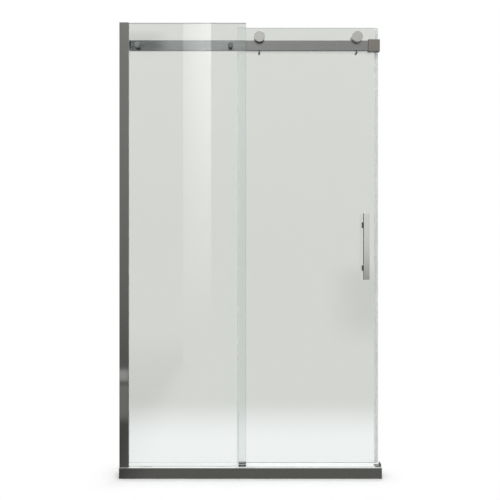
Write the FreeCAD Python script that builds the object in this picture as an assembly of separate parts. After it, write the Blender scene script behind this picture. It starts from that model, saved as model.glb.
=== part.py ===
import FreeCAD, Part
import math
import os

# A sliding shower door, in millimetres. A fixed glass panel stands in a wall jamb, and a second panel
# hangs behind a header bar from two grooved wheels that roll along the bar's top edge.
# X runs along the sill, from the fixed panel's wall to the closing wall. Y runs into the shower and
# Z runs up. The origin is the centre of the sill's underside, and the door is modelled closed.

# Whole door: width from wall to wall, and height to the top of the fixed glass
DOOR_WIDTH = 1150.0
DOOR_HEIGHT = 2000.0

# Sill: a hollow rail with a front lip, a bright plate let into its top and a cap on each end
SILL_DEPTH = 96.0
SILL_HEIGHT = 46.0
SILL_WALL = 2.5
SILL_CHAMBERS = 3
SILL_EDGE_RADIUS = 1.6
SILL_LIP = 3.0
PLATE_THICKNESS = 2.0
PLATE_SIDE_GAP = 0.1
END_CAP_THICKNESS = 2.0
END_CAP_LUG = 8.0
END_CAP_LUG_GAP = 0.15

# Threshold strip and corner dam, both laid on the sill in front of the rolling panel
THRESHOLD_SETBACK = 6.0
THRESHOLD_DEPTH = 21.0
THRESHOLD_HEIGHT = 2.5
THRESHOLD_BEVEL = 1.6
THRESHOLD_END_GAP = 0.5
DAM_SETBACK = 17.0
DAM_DEPTH = 39.0
DAM_LENGTH = 25.0
DAM_THICKNESS = 2.5
DAM_HEIGHT = 15.0
DAM_COVE = 2.0

# Jamb: an outer profile that clamps over a wall channel and holds the fixed glass in a deep pocket
JAMB_SETBACK = 10.0
JAMB_WIDTH = 40.0
JAMB_WALL = 2.0
JAMB_EDGE_RADIUS = 1.0
POCKET_DEPTH = 18.0
POCKET_WALL = 2.0
POCKET_BACK_ROOM = 4.0
GASKET_THICKNESS = 4.0
GASKET_WIDTH = 15.0
GASKET_ROUND = 1.2
CHANNEL_WIDTH = 20.0
CHANNEL_WALL = 1.8
CHANNEL_SIDE_GAP = 0.2
CHANNEL_TOP_GAP = 4.0
WALL_SCREW_COUNT = 4
WALL_SCREW_HOLE_R = 2.75
WALL_SCREW_SINK_R = 5.0
WALL_SCREW_SINK_DEPTH = 0.9
WALL_SCREW_END = 173.0
TOP_CAP_THICKNESS = 2.0
TOP_CAP_LUG = 12.0
TOP_CAP_GAP = 0.3
CLAMP_SCREW_COUNT = 3
CLAMP_SCREW_END = 210.0
CLAMP_SCREW_INSET = 10.0
CLAMP_SCREW_R = 1.9
CLAMP_SCREW_HOLE_R = 2.0
CLAMP_SCREW_REACH = 5.0
CLAMP_HEAD_R = 3.7
CLAMP_HEAD_HEIGHT = 2.2
SCREW_CAP_R = 5.5
SCREW_CAP_WALL = 1.0
SCREW_CAP_ROUND = 0.5
SCREW_CAP_GAP = 0.3

# Glass panels: the fixed one ends short of the door's middle, and the rolling one overlaps it
FIXED_GLASS_THICKNESS = 8.0
FIXED_GLASS_MIDDLE_GAP = 19.0
FIXED_GLASS_POCKET_GAP = 3.0
PANEL_OVERLAP = 38.0
SLIDING_GLASS_THICKNESS = 8.0
SLIDING_GLASS_WALL_GAP = 12.0
SLIDING_GLASS_TOP_DROP = 5.0
SLIDING_GLASS_FOOT_GAP = 4.0
GLASS_EDGE_BEVEL = 0.8
SETTING_BLOCK_HEIGHT = 3.0
SETTING_BLOCK_LENGTH = 60.0
SETTING_BLOCK_INSET = 90.0

# Header bar, held in a bracket on each wall
BAR_HEIGHT = 45.0
BAR_DEPTH = 14.0
BAR_WALL = 2.0
BAR_EDGE_RADIUS = 0.8
BAR_DROP = 68.0
BAR_END_GAP = 1.0
RIGHT_BRACKET_LENGTH = 51.0
LEFT_BRACKET_LENGTH = 34.0
BRACKET_SIDE_WALL = 5.0
BRACKET_TOP_WALL = 4.0
BRACKET_BAR_GAP = 0.2
BRACKET_EDGE_RADIUS = 0.8
WALL_PLATE_THICKNESS = 3.0
WALL_PLATE_LUG = 12.0
WALL_PLATE_LUG_HEIGHT = 4.0
WALL_PLATE_LUG_GAP = 0.2
PLATE_HOLE_SPACING = 20.0
PLATE_HOLE_R = 2.5
PLATE_SINK_R = 4.6
PLATE_SINK_DEPTH = 2.0
SET_SCREW_R = 2.5
SET_SCREW_HOLE_R = 2.55
SET_SCREW_COUNT = 2
SET_SCREW_KEY_R = 1.45
SET_SCREW_KEY_DEPTH = 2.0
EAR_THICKNESS = 4.0
EAR_DEPTH = 15.0
EAR_HEIGHT = 30.0
BUMPER_R = 5.6
BUMPER_STEM_R = 2.5
BUMPER_STEM_HOLE_R = 2.6
BUMPER_GAP = 0.4
BUMPER_ROUND = 1.2

# Standoffs that fasten the fixed glass to the header bar
LEFT_STANDOFF_INSET = 77.0
RIGHT_STANDOFF_INSET = 69.0
STANDOFF_RISE = 13.5
STANDOFF_CAP_R = 11.5
STANDOFF_CAP_LENGTH = 13.0
STANDOFF_CAP_ROUND = 0.8
STANDOFF_WASHER_R = 10.5
STANDOFF_WASHER_THICKNESS = 1.0
STANDOFF_SPACER_R = 9.0
STANDOFF_SPACER_LENGTH = 21.0
STANDOFF_GLASS_HOLE_R = 7.0
STANDOFF_SLEEVE_GAP = 0.2
STANDOFF_STUD_R = 4.0
STANDOFF_STUD_HOLE_R = 4.1
STANDOFF_STUD_REACH = 9.0
INSERT_R = 5.9
INSERT_HOLE_R = 6.0
INSERT_LENGTH = 10.0
INSERT_FLANGE_R = 7.4
INSERT_FLANGE_THICKNESS = 0.8
INSERT_FLANGE_GAP = 0.2

# Bottom guide on the sill, beside the free edge of the fixed glass
GUIDE_LENGTH = 32.0
GUIDE_GLASS_GAP = 2.0
GUIDE_NOSE_DEPTH = 12.0
GUIDE_NOSE_HEIGHT = 7.5
GUIDE_FLOOR_HEIGHT = 3.0
GUIDE_WALL_HEIGHT = 8.5
GUIDE_WALL = 5.2
GUIDE_LINER_THICKNESS = 1.5
GUIDE_RUNNING_GAP = 0.3
GUIDE_LINER_DROP = 0.3
GUIDE_EDGE_RADIUS = 1.0
GUIDE_SCREW_SPACING = 18.0
GUIDE_SCREW_R = 2.0
GUIDE_SCREW_HOLE_R = 2.1
GUIDE_SCREW_HEAD_R = 3.8
GUIDE_SCREW_HEAD_DEPTH = 2.0
GUIDE_SCREW_LENGTH = 16.0

# Rolling panel: distance behind the bar, and the seals on its two upright edges
HANG_GAP = 7.0
SEAL_THICKNESS = 1.1
SEAL_LEG = 8.0
SIDE_SEAL_TOP_GAP = 12.0
SIDE_SEAL_FOOT_GAP = 2.0
SIDE_SEAL_FIN = 9.0
SIDE_SEAL_FIN_LEAN = 3.0
SEAL_BULB_R = 4.6
SEAL_BULB_WALL = 0.9

# Wheels and roller fittings
LEFT_ROLLER_INSET = 98.0
RIGHT_ROLLER_INSET = 89.0
TREAD_R = 13.0
TREAD_GAP = 0.3
WHEEL_SIDE_GAP = 0.6
FLANGE_R = 16.5
FLANGE_THICKNESS = 1.5
HUB_R = 11.0
BEARING_R = 9.5
BEARING_WIDTH = 5.0
BEARING_INSET = 1.1
BEARING_GROOVE_INNER_R = 6.6
BEARING_GROOVE_OUTER_R = 8.2
BEARING_GROOVE_DEPTH = 0.5
AXLE_R = 5.0
AXLE_RUNNING_GAP = 0.05
AXLE_THREAD_R = 4.0
AXLE_COLLAR_R = 6.5
AXLE_THREAD_GAP = 0.05
AXLE_END_GAP = 0.4
ROLLER_CAP_R = 24.0
ROLLER_CAP_WALL = 2.5
ROLLER_CAP_FACE = 4.0
ROLLER_CAP_GLASS_GAP = 4.0
ROLLER_CAP_BAR_GAP = 1.5
ROLLER_CAP_BOSS_R = 8.0
ROLLER_CAP_BOSS_LENGTH = 7.0
ROLLER_CAP_THREAD_DEPTH = 8.0
ROLLER_CAP_ROUND = 1.2
ROLLER_WASHER_THICKNESS = 1.0
ROLLER_FRONT_WASHER_R = 14.0
ROLLER_REAR_WASHER_R = 22.0
ROLLER_SPACER_R = 12.0
ROLLER_SPACER_NOSE_R = 8.5
ROLLER_SPACER_NOSE_GAP = 0.9
ROLLER_GLASS_HOLE_R = 9.0
ROLLER_BUSHING_GAP = 0.2
REAR_DISC_R = 24.0
REAR_DISC_THICKNESS = 10.0
REAR_DISC_ROUND = 1.2
REAR_DISC_THREAD_DEPTH = 7.0
REAR_DISC_KEY_R = 1.6
REAR_DISC_KEY_SPACING = 24.0
REAR_DISC_KEY_DEPTH = 2.5

# Anti-jump pins, which keep the wheels from lifting off the bar
PIN_R = 4.0
PIN_BAR_GAP = 2.0
PIN_OVERLAP = 10.0
PIN_STUD_R = 2.5
PIN_STUD_REACH = 6.0
PIN_ROUND = 1.0
PIN_GLASS_HOLE_R = 4.0
PIN_WASHER_R = 5.5
PIN_WASHER_THICKNESS = 1.0
PIN_STUD_HOLE_R = 2.55
PIN_NUT_R = 5.0
PIN_NUT_LENGTH = 8.0

# Pull handle
HANDLE_LENGTH = 295.0
HANDLE_WIDTH = 26.0
HANDLE_GRIP_DEPTH = 18.0
HANDLE_FINGER_ROOM = 29.0
HANDLE_STOP_ROOM = 29.0
HANDLE_CENTRE_HEIGHT = 1016.7
HANDLE_INSET = 50.0
HANDLE_POST_SPACING = 192.0
HANDLE_POST_HEIGHT = 24.0
HANDLE_EDGE_RADIUS = 1.2
HANDLE_POST_RADIUS = 0.8
HANDLE_GASKET_THICKNESS = 1.0
HANDLE_GASKET_INSET = 0.5
HANDLE_GLASS_HOLE_R = 6.0
HANDLE_SLEEVE_GAP = 0.2
HANDLE_BOLT_R = 3.0
HANDLE_BOLT_HOLE_R = 3.05
HANDLE_BOLT_REACH = 9.0
HANDLE_BOLT_END_ROOM = 1.0
HANDLE_BACK_PLATE_THICKNESS = 4.0
HANDLE_BOLT_HEAD_R = 6.2
HANDLE_BOLT_HEAD_DEPTH = 3.2
HANDLE_BOLT_HEAD_GAP = 0.1

# Screw drives, clean cuts and edge matching
DRIVE_WIDTH_SHARE = 0.22
DRIVE_LENGTH_SHARE = 1.25
DRIVE_DEPTH_SHARE = 0.5
KEY_SIDES = 6
CUT_OVERRUN = 1.0
EDGE_MATCH = 0.001

# Depths, from the front of the sill to the back of the rolling panel
FRONT_Y = -SILL_DEPTH / 2
JAMB_FRONT_Y = FRONT_Y + JAMB_SETBACK
FIXED_FRONT_Y = JAMB_FRONT_Y + JAMB_WALL + GASKET_THICKNESS
FIXED_BACK_Y = FIXED_FRONT_Y + FIXED_GLASS_THICKNESS
POCKET_BACK_Y = FIXED_BACK_Y + GASKET_THICKNESS
JAMB_BACK_Y = POCKET_BACK_Y + POCKET_WALL + POCKET_BACK_ROOM + JAMB_WALL
BAR_FRONT_Y = FIXED_BACK_Y + STANDOFF_WASHER_THICKNESS + STANDOFF_SPACER_LENGTH
BAR_BACK_Y = BAR_FRONT_Y + BAR_DEPTH
BAR_MIDDLE_Y = (BAR_FRONT_Y + BAR_BACK_Y) / 2
SLIDING_FRONT_Y = BAR_BACK_Y + HANG_GAP
SLIDING_BACK_Y = SLIDING_FRONT_Y + SLIDING_GLASS_THICKNESS
SLIDING_MIDDLE_Y = (SLIDING_FRONT_Y + SLIDING_BACK_Y) / 2

# Heights
JAMB_TOP_Z = DOOR_HEIGHT - TOP_CAP_THICKNESS
BAR_TOP_Z = DOOR_HEIGHT - BAR_DROP
BAR_BOTTOM_Z = BAR_TOP_Z - BAR_HEIGHT
BAR_MIDDLE_Z = (BAR_TOP_Z + BAR_BOTTOM_Z) / 2
STANDOFF_Z = BAR_BOTTOM_Z + STANDOFF_RISE
WHEEL_Z = BAR_TOP_Z + TREAD_GAP + TREAD_R
PIN_Z = BAR_BOTTOM_Z - PIN_BAR_GAP - PIN_R
FIXED_FOOT_Z = SILL_HEIGHT + SETTING_BLOCK_HEIGHT
SLIDING_FOOT_Z = SILL_HEIGHT + SLIDING_GLASS_FOOT_GAP
SLIDING_TOP_Z = DOOR_HEIGHT - SLIDING_GLASS_TOP_DROP

# Places along the sill, and the way of the rolling panel, which leaves finger room beside the handle
LEFT_WALL_X = -DOOR_WIDTH / 2
RIGHT_WALL_X = DOOR_WIDTH / 2
JAMB_FACE_X = LEFT_WALL_X + JAMB_WIDTH
POCKET_X = JAMB_FACE_X - POCKET_DEPTH
FIXED_LEFT_X = POCKET_X + FIXED_GLASS_POCKET_GAP
FIXED_RIGHT_X = -FIXED_GLASS_MIDDLE_GAP
SLIDING_RIGHT_X = RIGHT_WALL_X - SLIDING_GLASS_WALL_GAP
SLIDING_LEFT_X = FIXED_RIGHT_X - PANEL_OVERLAP
GUIDE_X = (FIXED_RIGHT_X - GUIDE_LENGTH, FIXED_RIGHT_X)
DAM_X = (RIGHT_WALL_X - DAM_LENGTH, RIGHT_WALL_X)
STANDOFF_XS = (LEFT_WALL_X + LEFT_STANDOFF_INSET, FIXED_RIGHT_X - RIGHT_STANDOFF_INSET)
ROLLER_XS = (SLIDING_LEFT_X + LEFT_ROLLER_INSET, SLIDING_RIGHT_X - RIGHT_ROLLER_INSET)
HANDLE_X = SLIDING_RIGHT_X - HANDLE_INSET
TRAVEL = HANDLE_X - HANDLE_WIDTH / 2 - HANDLE_STOP_ROOM - FIXED_RIGHT_X
HANDLE_POST_ZS = (
    HANDLE_CENTRE_HEIGHT - HANDLE_POST_SPACING / 2,
    HANDLE_CENTRE_HEIGHT + HANDLE_POST_SPACING / 2,
)

# Wheel faces, and the faces of the roller fittings on each side of the wheel
WHEEL_FRONT_Y = BAR_FRONT_Y - WHEEL_SIDE_GAP - FLANGE_THICKNESS
WHEEL_BACK_Y = BAR_BACK_Y + WHEEL_SIDE_GAP + FLANGE_THICKNESS
BEARING_FRONT_Y = WHEEL_FRONT_Y + BEARING_INSET
BEARING_BACK_Y = WHEEL_BACK_Y - BEARING_INSET
CAP_FRONT_Y = FIXED_BACK_Y + ROLLER_CAP_GLASS_GAP
CAP_BACK_Y = BAR_FRONT_Y - ROLLER_CAP_BAR_GAP
CAP_BOSS_Y = CAP_FRONT_Y + ROLLER_CAP_FACE + ROLLER_CAP_BOSS_LENGTH
REAR_DISC_Y = SLIDING_BACK_Y + ROLLER_WASHER_THICKNESS

# Directions
TO_RIGHT = FreeCAD.Vector(1, 0, 0)
TO_BACK = FreeCAD.Vector(0, 1, 0)
TO_TOP = FreeCAD.Vector(0, 0, 1)


def around(middle, width):
    """The (low, high) pair of a width centred on a place."""
    return (middle - width / 2, middle + width / 2)


def grown(pair, margin):
    """A (low, high) pair moved outwards at both ends, or inwards by a negative margin."""
    return (pair[0] - margin, pair[1] + margin)


def block(x, y, z):
    """A box between three (low, high) pairs."""
    size = [high - low for low, high in (x, y, z)]
    return Part.makeBox(*size, FreeCAD.Vector(x[0], y[0], z[0]))


def rod_x(radius, x, y, z):
    """A round rod along X, from x[0] to x[1]."""
    return Part.makeCylinder(radius, x[1] - x[0], FreeCAD.Vector(x[0], y, z), TO_RIGHT)


def rod_y(radius, x, y, z):
    """A round rod along Y, from y[0] to y[1]."""
    return Part.makeCylinder(radius, y[1] - y[0], FreeCAD.Vector(x, y[0], z), TO_BACK)


def rod_z(radius, x, y, z):
    """A round rod along Z, from z[0] to z[1]."""
    return Part.makeCylinder(radius, z[1] - z[0], FreeCAD.Vector(x, y, z[0]), TO_TOP)


def ring_y(outer, inner, x, y, z):
    """A tube along Y."""
    return rod_y(outer, x, y, z).cut(rod_y(inner, x, grown(y, CUT_OVERRUN), z))


def prism_x(outline, x):
    """An outline of (y, z) points carried along X."""
    points = [FreeCAD.Vector(x[0], y, z) for y, z in outline]
    face = Part.Face(Part.makePolygon(points + points[:1]))
    return face.extrude(TO_RIGHT * (x[1] - x[0]))


def prism_z(outline, z):
    """An outline of (x, y) points carried along Z."""
    points = [FreeCAD.Vector(x, y, z[0]) for x, y in outline]
    face = Part.Face(Part.makePolygon(points + points[:1]))
    return face.extrude(TO_TOP * (z[1] - z[0]))


def key_socket(radius, start, way, depth):
    """A six-sided socket for a hex key."""
    turned = TO_BACK if abs(way.dot(TO_BACK)) < EDGE_MATCH else TO_TOP
    side = way.cross(turned)
    points = []
    for corner in range(KEY_SIDES):
        turn = 2 * math.pi * corner / KEY_SIDES
        points.append(start + turned * (radius * math.cos(turn)) + side * (radius * math.sin(turn)))
    return Part.Face(Part.makePolygon(points + points[:1])).extrude(way * depth)


def level_edges(shape, axis, place):
    """The edges of a shape that lie flat at one place on an axis, such as its front rim."""
    found = []
    for edge in shape.Edges:
        box = edge.BoundBox
        low = getattr(box, axis + "Min")
        high = getattr(box, axis + "Max")
        if abs(low - place) < EDGE_MATCH and abs(high - place) < EDGE_MATCH:
            found.append(edge)
    return found


def long_edges(shape, way):
    """The straight edges of a shape that run along a direction."""
    found = []
    for edge in shape.Edges:
        if isinstance(edge.Curve, Part.Line) and abs(abs(edge.tangentAt(0).dot(way)) - 1) < EDGE_MATCH:
            found.append(edge)
    return found


def rim(shape, axis, place, radius):
    """The largest round edge at one place on an axis, given its radius."""
    edges = level_edges(shape, axis, place)
    return [edge for edge in edges if abs(edge.Curve.Radius - radius) < EDGE_MATCH]


def save(name, *solids):
    """Write one named sub-part."""
    shape = solids[0] if len(solids) == 1 else Part.makeCompound(list(solids))
    shape.exportStep("parts/" + name + ".step")


def sill_inside_z():
    """The (low, high) pair of the sill's chambers."""
    return (SILL_WALL, SILL_HEIGHT - PLATE_THICKNESS - SILL_WALL)


def sill_chambers():
    """The (low, high) pairs in Y of the sill's chambers."""
    walls = (SILL_CHAMBERS + 1) * SILL_WALL
    width = (SILL_DEPTH - walls) / SILL_CHAMBERS
    pairs = []
    for number in range(SILL_CHAMBERS):
        start = FRONT_Y + SILL_WALL + number * (width + SILL_WALL)
        pairs.append((start, start + width))
    return pairs


def guide_screw_places():
    """The X places of the two screws that hold the bottom guide, and their shared Y."""
    middle = (GUIDE_X[0] + GUIDE_X[1]) / 2
    floor_y = (FIXED_BACK_Y + GUIDE_GLASS_GAP + GUIDE_NOSE_DEPTH + guide_front_wall_y()) / 2
    return around(middle, GUIDE_SCREW_SPACING), floor_y


def guide_front_wall_y():
    """The front of the guide's slot walls."""
    return SLIDING_FRONT_Y - GUIDE_RUNNING_GAP - GUIDE_LINER_THICKNESS - GUIDE_WALL


def guide_back_wall_y():
    """The back of the guide's slot walls."""
    return SLIDING_BACK_Y + GUIDE_RUNNING_GAP + GUIDE_LINER_THICKNESS + GUIDE_WALL


def guide_screw_holes():
    """The bores of the guide's screws, down to their points."""
    places, y = guide_screw_places()
    top = SILL_HEIGHT + GUIDE_FLOOR_HEIGHT
    return [rod_z(GUIDE_SCREW_HOLE_R, x, y, (top - GUIDE_SCREW_LENGTH, top)) for x in places]


def make_sill():
    """The hollow rail, the bright plate in its top and the two end caps."""
    rail_x = grown((LEFT_WALL_X, RIGHT_WALL_X), -END_CAP_THICKNESS)
    whole_y = (FRONT_Y, FRONT_Y + SILL_DEPTH)
    rail = block(rail_x, whole_y, (0, SILL_HEIGHT))
    corners = [edge for edge in long_edges(rail, TO_RIGHT) if edge.BoundBox.YMin < 0]
    rail = rail.makeFillet(SILL_EDGE_RADIUS, corners)
    cut_x = grown(rail_x, CUT_OVERRUN)
    recess_y = grown(whole_y, -SILL_LIP)
    plate_bottom = SILL_HEIGHT - PLATE_THICKNESS
    rail = rail.cut(block(cut_x, recess_y, (plate_bottom, SILL_HEIGHT + CUT_OVERRUN)))
    for chamber in sill_chambers():
        rail = rail.cut(block(cut_x, chamber, sill_inside_z()))
    plate = block(rail_x, grown(recess_y, -PLATE_SIDE_GAP), (plate_bottom, SILL_HEIGHT))
    for hole in guide_screw_holes():
        rail = rail.cut(hole)
        plate = plate.cut(hole)
    save("sill_rail", rail)
    save("sill_top_plate", plate)
    save("sill_end_caps", end_cap(LEFT_WALL_X, 1), end_cap(RIGHT_WALL_X, -1))


def end_cap(wall_x, inwards):
    """A flat cap with the rail's outline and one lug in each chamber."""
    whole_y = (FRONT_Y, FRONT_Y + SILL_DEPTH)
    face_x = wall_x + inwards * END_CAP_THICKNESS
    lug_x = face_x + inwards * END_CAP_LUG
    cap = block(sorted((wall_x, face_x)), whole_y, (0, SILL_HEIGHT))
    corners = [edge for edge in long_edges(cap, TO_RIGHT) if edge.BoundBox.YMin < 0]
    cap = cap.makeFillet(SILL_EDGE_RADIUS, corners)
    for chamber in sill_chambers():
        lug_y = grown(chamber, -END_CAP_LUG_GAP)
        lug_z = grown(sill_inside_z(), -END_CAP_LUG_GAP)
        cap = cap.fuse(block(sorted((face_x, lug_x)), lug_y, lug_z))
    return cap


def make_threshold_strip():
    """A low strip with bevelled edges between the bottom guide and the corner dam."""
    front = FRONT_Y + THRESHOLD_SETBACK
    back = front + THRESHOLD_DEPTH
    top = SILL_HEIGHT + THRESHOLD_HEIGHT
    outline = [
        (front, SILL_HEIGHT),
        (back, SILL_HEIGHT),
        (back, top - THRESHOLD_BEVEL),
        (back - THRESHOLD_BEVEL, top),
        (front + THRESHOLD_BEVEL, top),
        (front, top - THRESHOLD_BEVEL),
    ]
    strip_x = grown((GUIDE_X[1], DAM_X[0]), -THRESHOLD_END_GAP)
    save("threshold_strip", prism_x(outline, strip_x))


def make_corner_dam():
    """A soft L in the corner of sill and wall, with a cove inside the L."""
    y = (FRONT_Y + DAM_SETBACK, FRONT_Y + DAM_SETBACK + DAM_DEPTH)
    foot = block(DAM_X, y, (SILL_HEIGHT, SILL_HEIGHT + DAM_THICKNESS))
    leg = block((RIGHT_WALL_X - DAM_THICKNESS, RIGHT_WALL_X), y, (SILL_HEIGHT, SILL_HEIGHT + DAM_HEIGHT))
    dam = foot.fuse(leg).removeSplitter()
    corner_x = RIGHT_WALL_X - DAM_THICKNESS
    corner_z = SILL_HEIGHT + DAM_THICKNESS
    inside = []
    for edge in long_edges(dam, TO_BACK):
        box = edge.BoundBox
        if abs(box.XMin - corner_x) < EDGE_MATCH and abs(box.ZMin - corner_z) < EDGE_MATCH:
            inside.append(edge)
    save("corner_dam", dam.makeFillet(DAM_COVE, inside))


def channel_z():
    """The (low, high) pair of the wall channel."""
    return (SILL_HEIGHT, JAMB_TOP_Z - CHANNEL_TOP_GAP)


def spread(low, high, count):
    """Evenly spaced places from low to high."""
    return [low + (high - low) * number / (count - 1) for number in range(count)]


def clamp_screw_places():
    """The X of the jamb's clamp screws, and their heights."""
    heights = spread(SILL_HEIGHT + CLAMP_SCREW_END, JAMB_TOP_Z - CLAMP_SCREW_END, CLAMP_SCREW_COUNT)
    return LEFT_WALL_X + CLAMP_SCREW_INSET, heights


def clamp_screw_holes():
    """The bores of the clamp screws through jamb and channel."""
    x, heights = clamp_screw_places()
    y = (JAMB_BACK_Y - CLAMP_SCREW_REACH, JAMB_BACK_Y + CUT_OVERRUN)
    return [rod_y(CLAMP_SCREW_HOLE_R, x, y, z) for z in heights]


def make_wall_channel():
    """A U channel on the wall, with countersunk holes for the wall's screws."""
    inner_y = (JAMB_FRONT_Y + JAMB_WALL + CHANNEL_SIDE_GAP, JAMB_BACK_Y - JAMB_WALL - CHANNEL_SIDE_GAP)
    x = (LEFT_WALL_X, LEFT_WALL_X + CHANNEL_WIDTH)
    low, high = channel_z()
    channel = block(x, inner_y, (low, high))
    room_x = (LEFT_WALL_X + CHANNEL_WALL, x[1] + CUT_OVERRUN)
    channel = channel.cut(block(room_x, grown(inner_y, -CHANNEL_WALL), grown((low, high), CUT_OVERRUN)))
    middle_y = (inner_y[0] + inner_y[1]) / 2
    through_x = (LEFT_WALL_X - CUT_OVERRUN, room_x[0] + CUT_OVERRUN)
    for z in spread(low + WALL_SCREW_END, high - WALL_SCREW_END, WALL_SCREW_COUNT):
        channel = channel.cut(rod_x(WALL_SCREW_HOLE_R, through_x, middle_y, z))
        sink_start = FreeCAD.Vector(room_x[0] - WALL_SCREW_SINK_DEPTH, middle_y, z)
        sink = Part.makeCone(
            WALL_SCREW_HOLE_R, WALL_SCREW_SINK_R, WALL_SCREW_SINK_DEPTH, sink_start, TO_RIGHT
        )
        channel = channel.cut(sink)
    for hole in clamp_screw_holes():
        channel = channel.cut(hole)
    save("wall_channel", channel)


def make_jamb():
    """The jamb's outer profile: a clamp around the channel and a pocket for the glass."""
    whole_x = (LEFT_WALL_X, JAMB_FACE_X)
    z = (SILL_HEIGHT, JAMB_TOP_Z)
    cut_z = grown(z, CUT_OVERRUN)
    profile = block(whole_x, (JAMB_FRONT_Y, JAMB_BACK_Y), z)
    profile = profile.makeFillet(JAMB_EDGE_RADIUS, long_edges(profile, TO_TOP))
    inner_y = (JAMB_FRONT_Y + JAMB_WALL, JAMB_BACK_Y - JAMB_WALL)
    clamp_x = (LEFT_WALL_X - CUT_OVERRUN, POCKET_X - JAMB_WALL)
    profile = profile.cut(block(clamp_x, inner_y, cut_z))
    mouth_x = (POCKET_X, JAMB_FACE_X + CUT_OVERRUN)
    profile = profile.cut(block(mouth_x, (inner_y[0], POCKET_BACK_Y), cut_z))
    hollow_x = (POCKET_X, JAMB_FACE_X - JAMB_WALL)
    profile = profile.cut(block(hollow_x, (POCKET_BACK_Y + POCKET_WALL, inner_y[1]), cut_z))
    for hole in clamp_screw_holes():
        profile = profile.cut(hole)
    save("jamb_profile", profile)


def make_jamb_gaskets():
    """A soft strip on each side of the glass in the jamb's pocket, rounded at the mouth."""
    x = (JAMB_FACE_X - GASKET_WIDTH, JAMB_FACE_X)
    z = (FIXED_FOOT_Z, JAMB_TOP_Z)
    gaskets = []
    for front, back in ((FIXED_FRONT_Y - GASKET_THICKNESS, FIXED_FRONT_Y), (FIXED_BACK_Y, POCKET_BACK_Y)):
        strip = block(x, (front, back), z)
        mouth = [edge for edge in long_edges(strip, TO_TOP) if edge.BoundBox.XMin > x[1] - EDGE_MATCH]
        gaskets.append(strip.makeFillet(GASKET_ROUND, mouth))
    save("jamb_gaskets", *gaskets)


def make_jamb_top_cap():
    """A plate that closes the jamb's top around the glass, with a lug in the wall channel."""
    cap = block((LEFT_WALL_X, JAMB_FACE_X), (JAMB_FRONT_Y, JAMB_BACK_Y), (JAMB_TOP_Z, DOOR_HEIGHT))
    cap = cap.makeFillet(JAMB_EDGE_RADIUS, long_edges(cap, TO_TOP))
    notch_y = grown((FIXED_FRONT_Y, FIXED_BACK_Y), TOP_CAP_GAP)
    notch_x = (FIXED_LEFT_X - TOP_CAP_GAP, JAMB_FACE_X + CUT_OVERRUN)
    cap = cap.cut(block(notch_x, notch_y, grown((JAMB_TOP_Z, DOOR_HEIGHT), CUT_OVERRUN)))
    inset = JAMB_WALL + CHANNEL_SIDE_GAP + CHANNEL_WALL + TOP_CAP_GAP
    lug_y = (JAMB_FRONT_Y + inset, JAMB_BACK_Y - inset)
    lug_x = (LEFT_WALL_X + CHANNEL_WALL + TOP_CAP_GAP, LEFT_WALL_X + CHANNEL_WIDTH)
    cap = cap.fuse(block(lug_x, lug_y, (JAMB_TOP_Z - TOP_CAP_LUG, JAMB_TOP_Z)))
    save("jamb_top_cap", cap)


def cross_drive(radius, x, y_top, z, depth):
    """A cross-shaped recess in a screw head that faces the back."""
    long_side = radius * DRIVE_LENGTH_SHARE
    short_side = radius * DRIVE_WIDTH_SHARE
    y = (y_top - depth, y_top + CUT_OVERRUN)
    upright = block(around(x, short_side), y, around(z, long_side))
    level = block(around(x, long_side), y, around(z, short_side))
    return upright.fuse(level)


def make_clamp_screws():
    """Pan-head screws through the jamb's back wall, and the cups that snap over their heads."""
    x, heights = clamp_screw_places()
    head_y = (JAMB_BACK_Y, JAMB_BACK_Y + CLAMP_HEAD_HEIGHT)
    shank_y = (JAMB_BACK_Y - CLAMP_SCREW_REACH, JAMB_BACK_Y)
    cup_y = (JAMB_BACK_Y, head_y[1] + SCREW_CAP_GAP + SCREW_CAP_WALL)
    screws = []
    cups = []
    for z in heights:
        screw = rod_y(CLAMP_HEAD_R, x, head_y, z).fuse(rod_y(CLAMP_SCREW_R, x, shank_y, z))
        depth = CLAMP_HEAD_HEIGHT * DRIVE_DEPTH_SHARE
        screws.append(screw.cut(cross_drive(CLAMP_HEAD_R, x, head_y[1], z, depth)))
        cup = rod_y(SCREW_CAP_R, x, cup_y, z)
        cup = cup.makeFillet(SCREW_CAP_ROUND, rim(cup, "Y", cup_y[1], SCREW_CAP_R))
        room_y = (cup_y[0] - CUT_OVERRUN, head_y[1] + SCREW_CAP_GAP)
        cups.append(cup.cut(rod_y(CLAMP_HEAD_R + SCREW_CAP_GAP, x, room_y, z)))
    save("jamb_clamp_screws", *screws)
    save("jamb_screw_caps", *cups)


def make_fixed_glass():
    """The fixed panel with two standoff holes, and the blocks that it stands on."""
    y = (FIXED_FRONT_Y, FIXED_BACK_Y)
    glass = block((FIXED_LEFT_X, FIXED_RIGHT_X), y, (FIXED_FOOT_Z, DOOR_HEIGHT))
    glass = glass.makeChamfer(GLASS_EDGE_BEVEL, glass.Edges)
    for x in STANDOFF_XS:
        glass = glass.cut(rod_y(STANDOFF_GLASS_HOLE_R, x, grown(y, CUT_OVERRUN), STANDOFF_Z))
    save("fixed_glass", glass)
    blocks = []
    for x in (FIXED_LEFT_X + SETTING_BLOCK_INSET, FIXED_RIGHT_X - SETTING_BLOCK_INSET):
        blocks.append(block(around(x, SETTING_BLOCK_LENGTH), y, (SILL_HEIGHT, FIXED_FOOT_Z)))
    save("glass_setting_blocks", *blocks)


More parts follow.
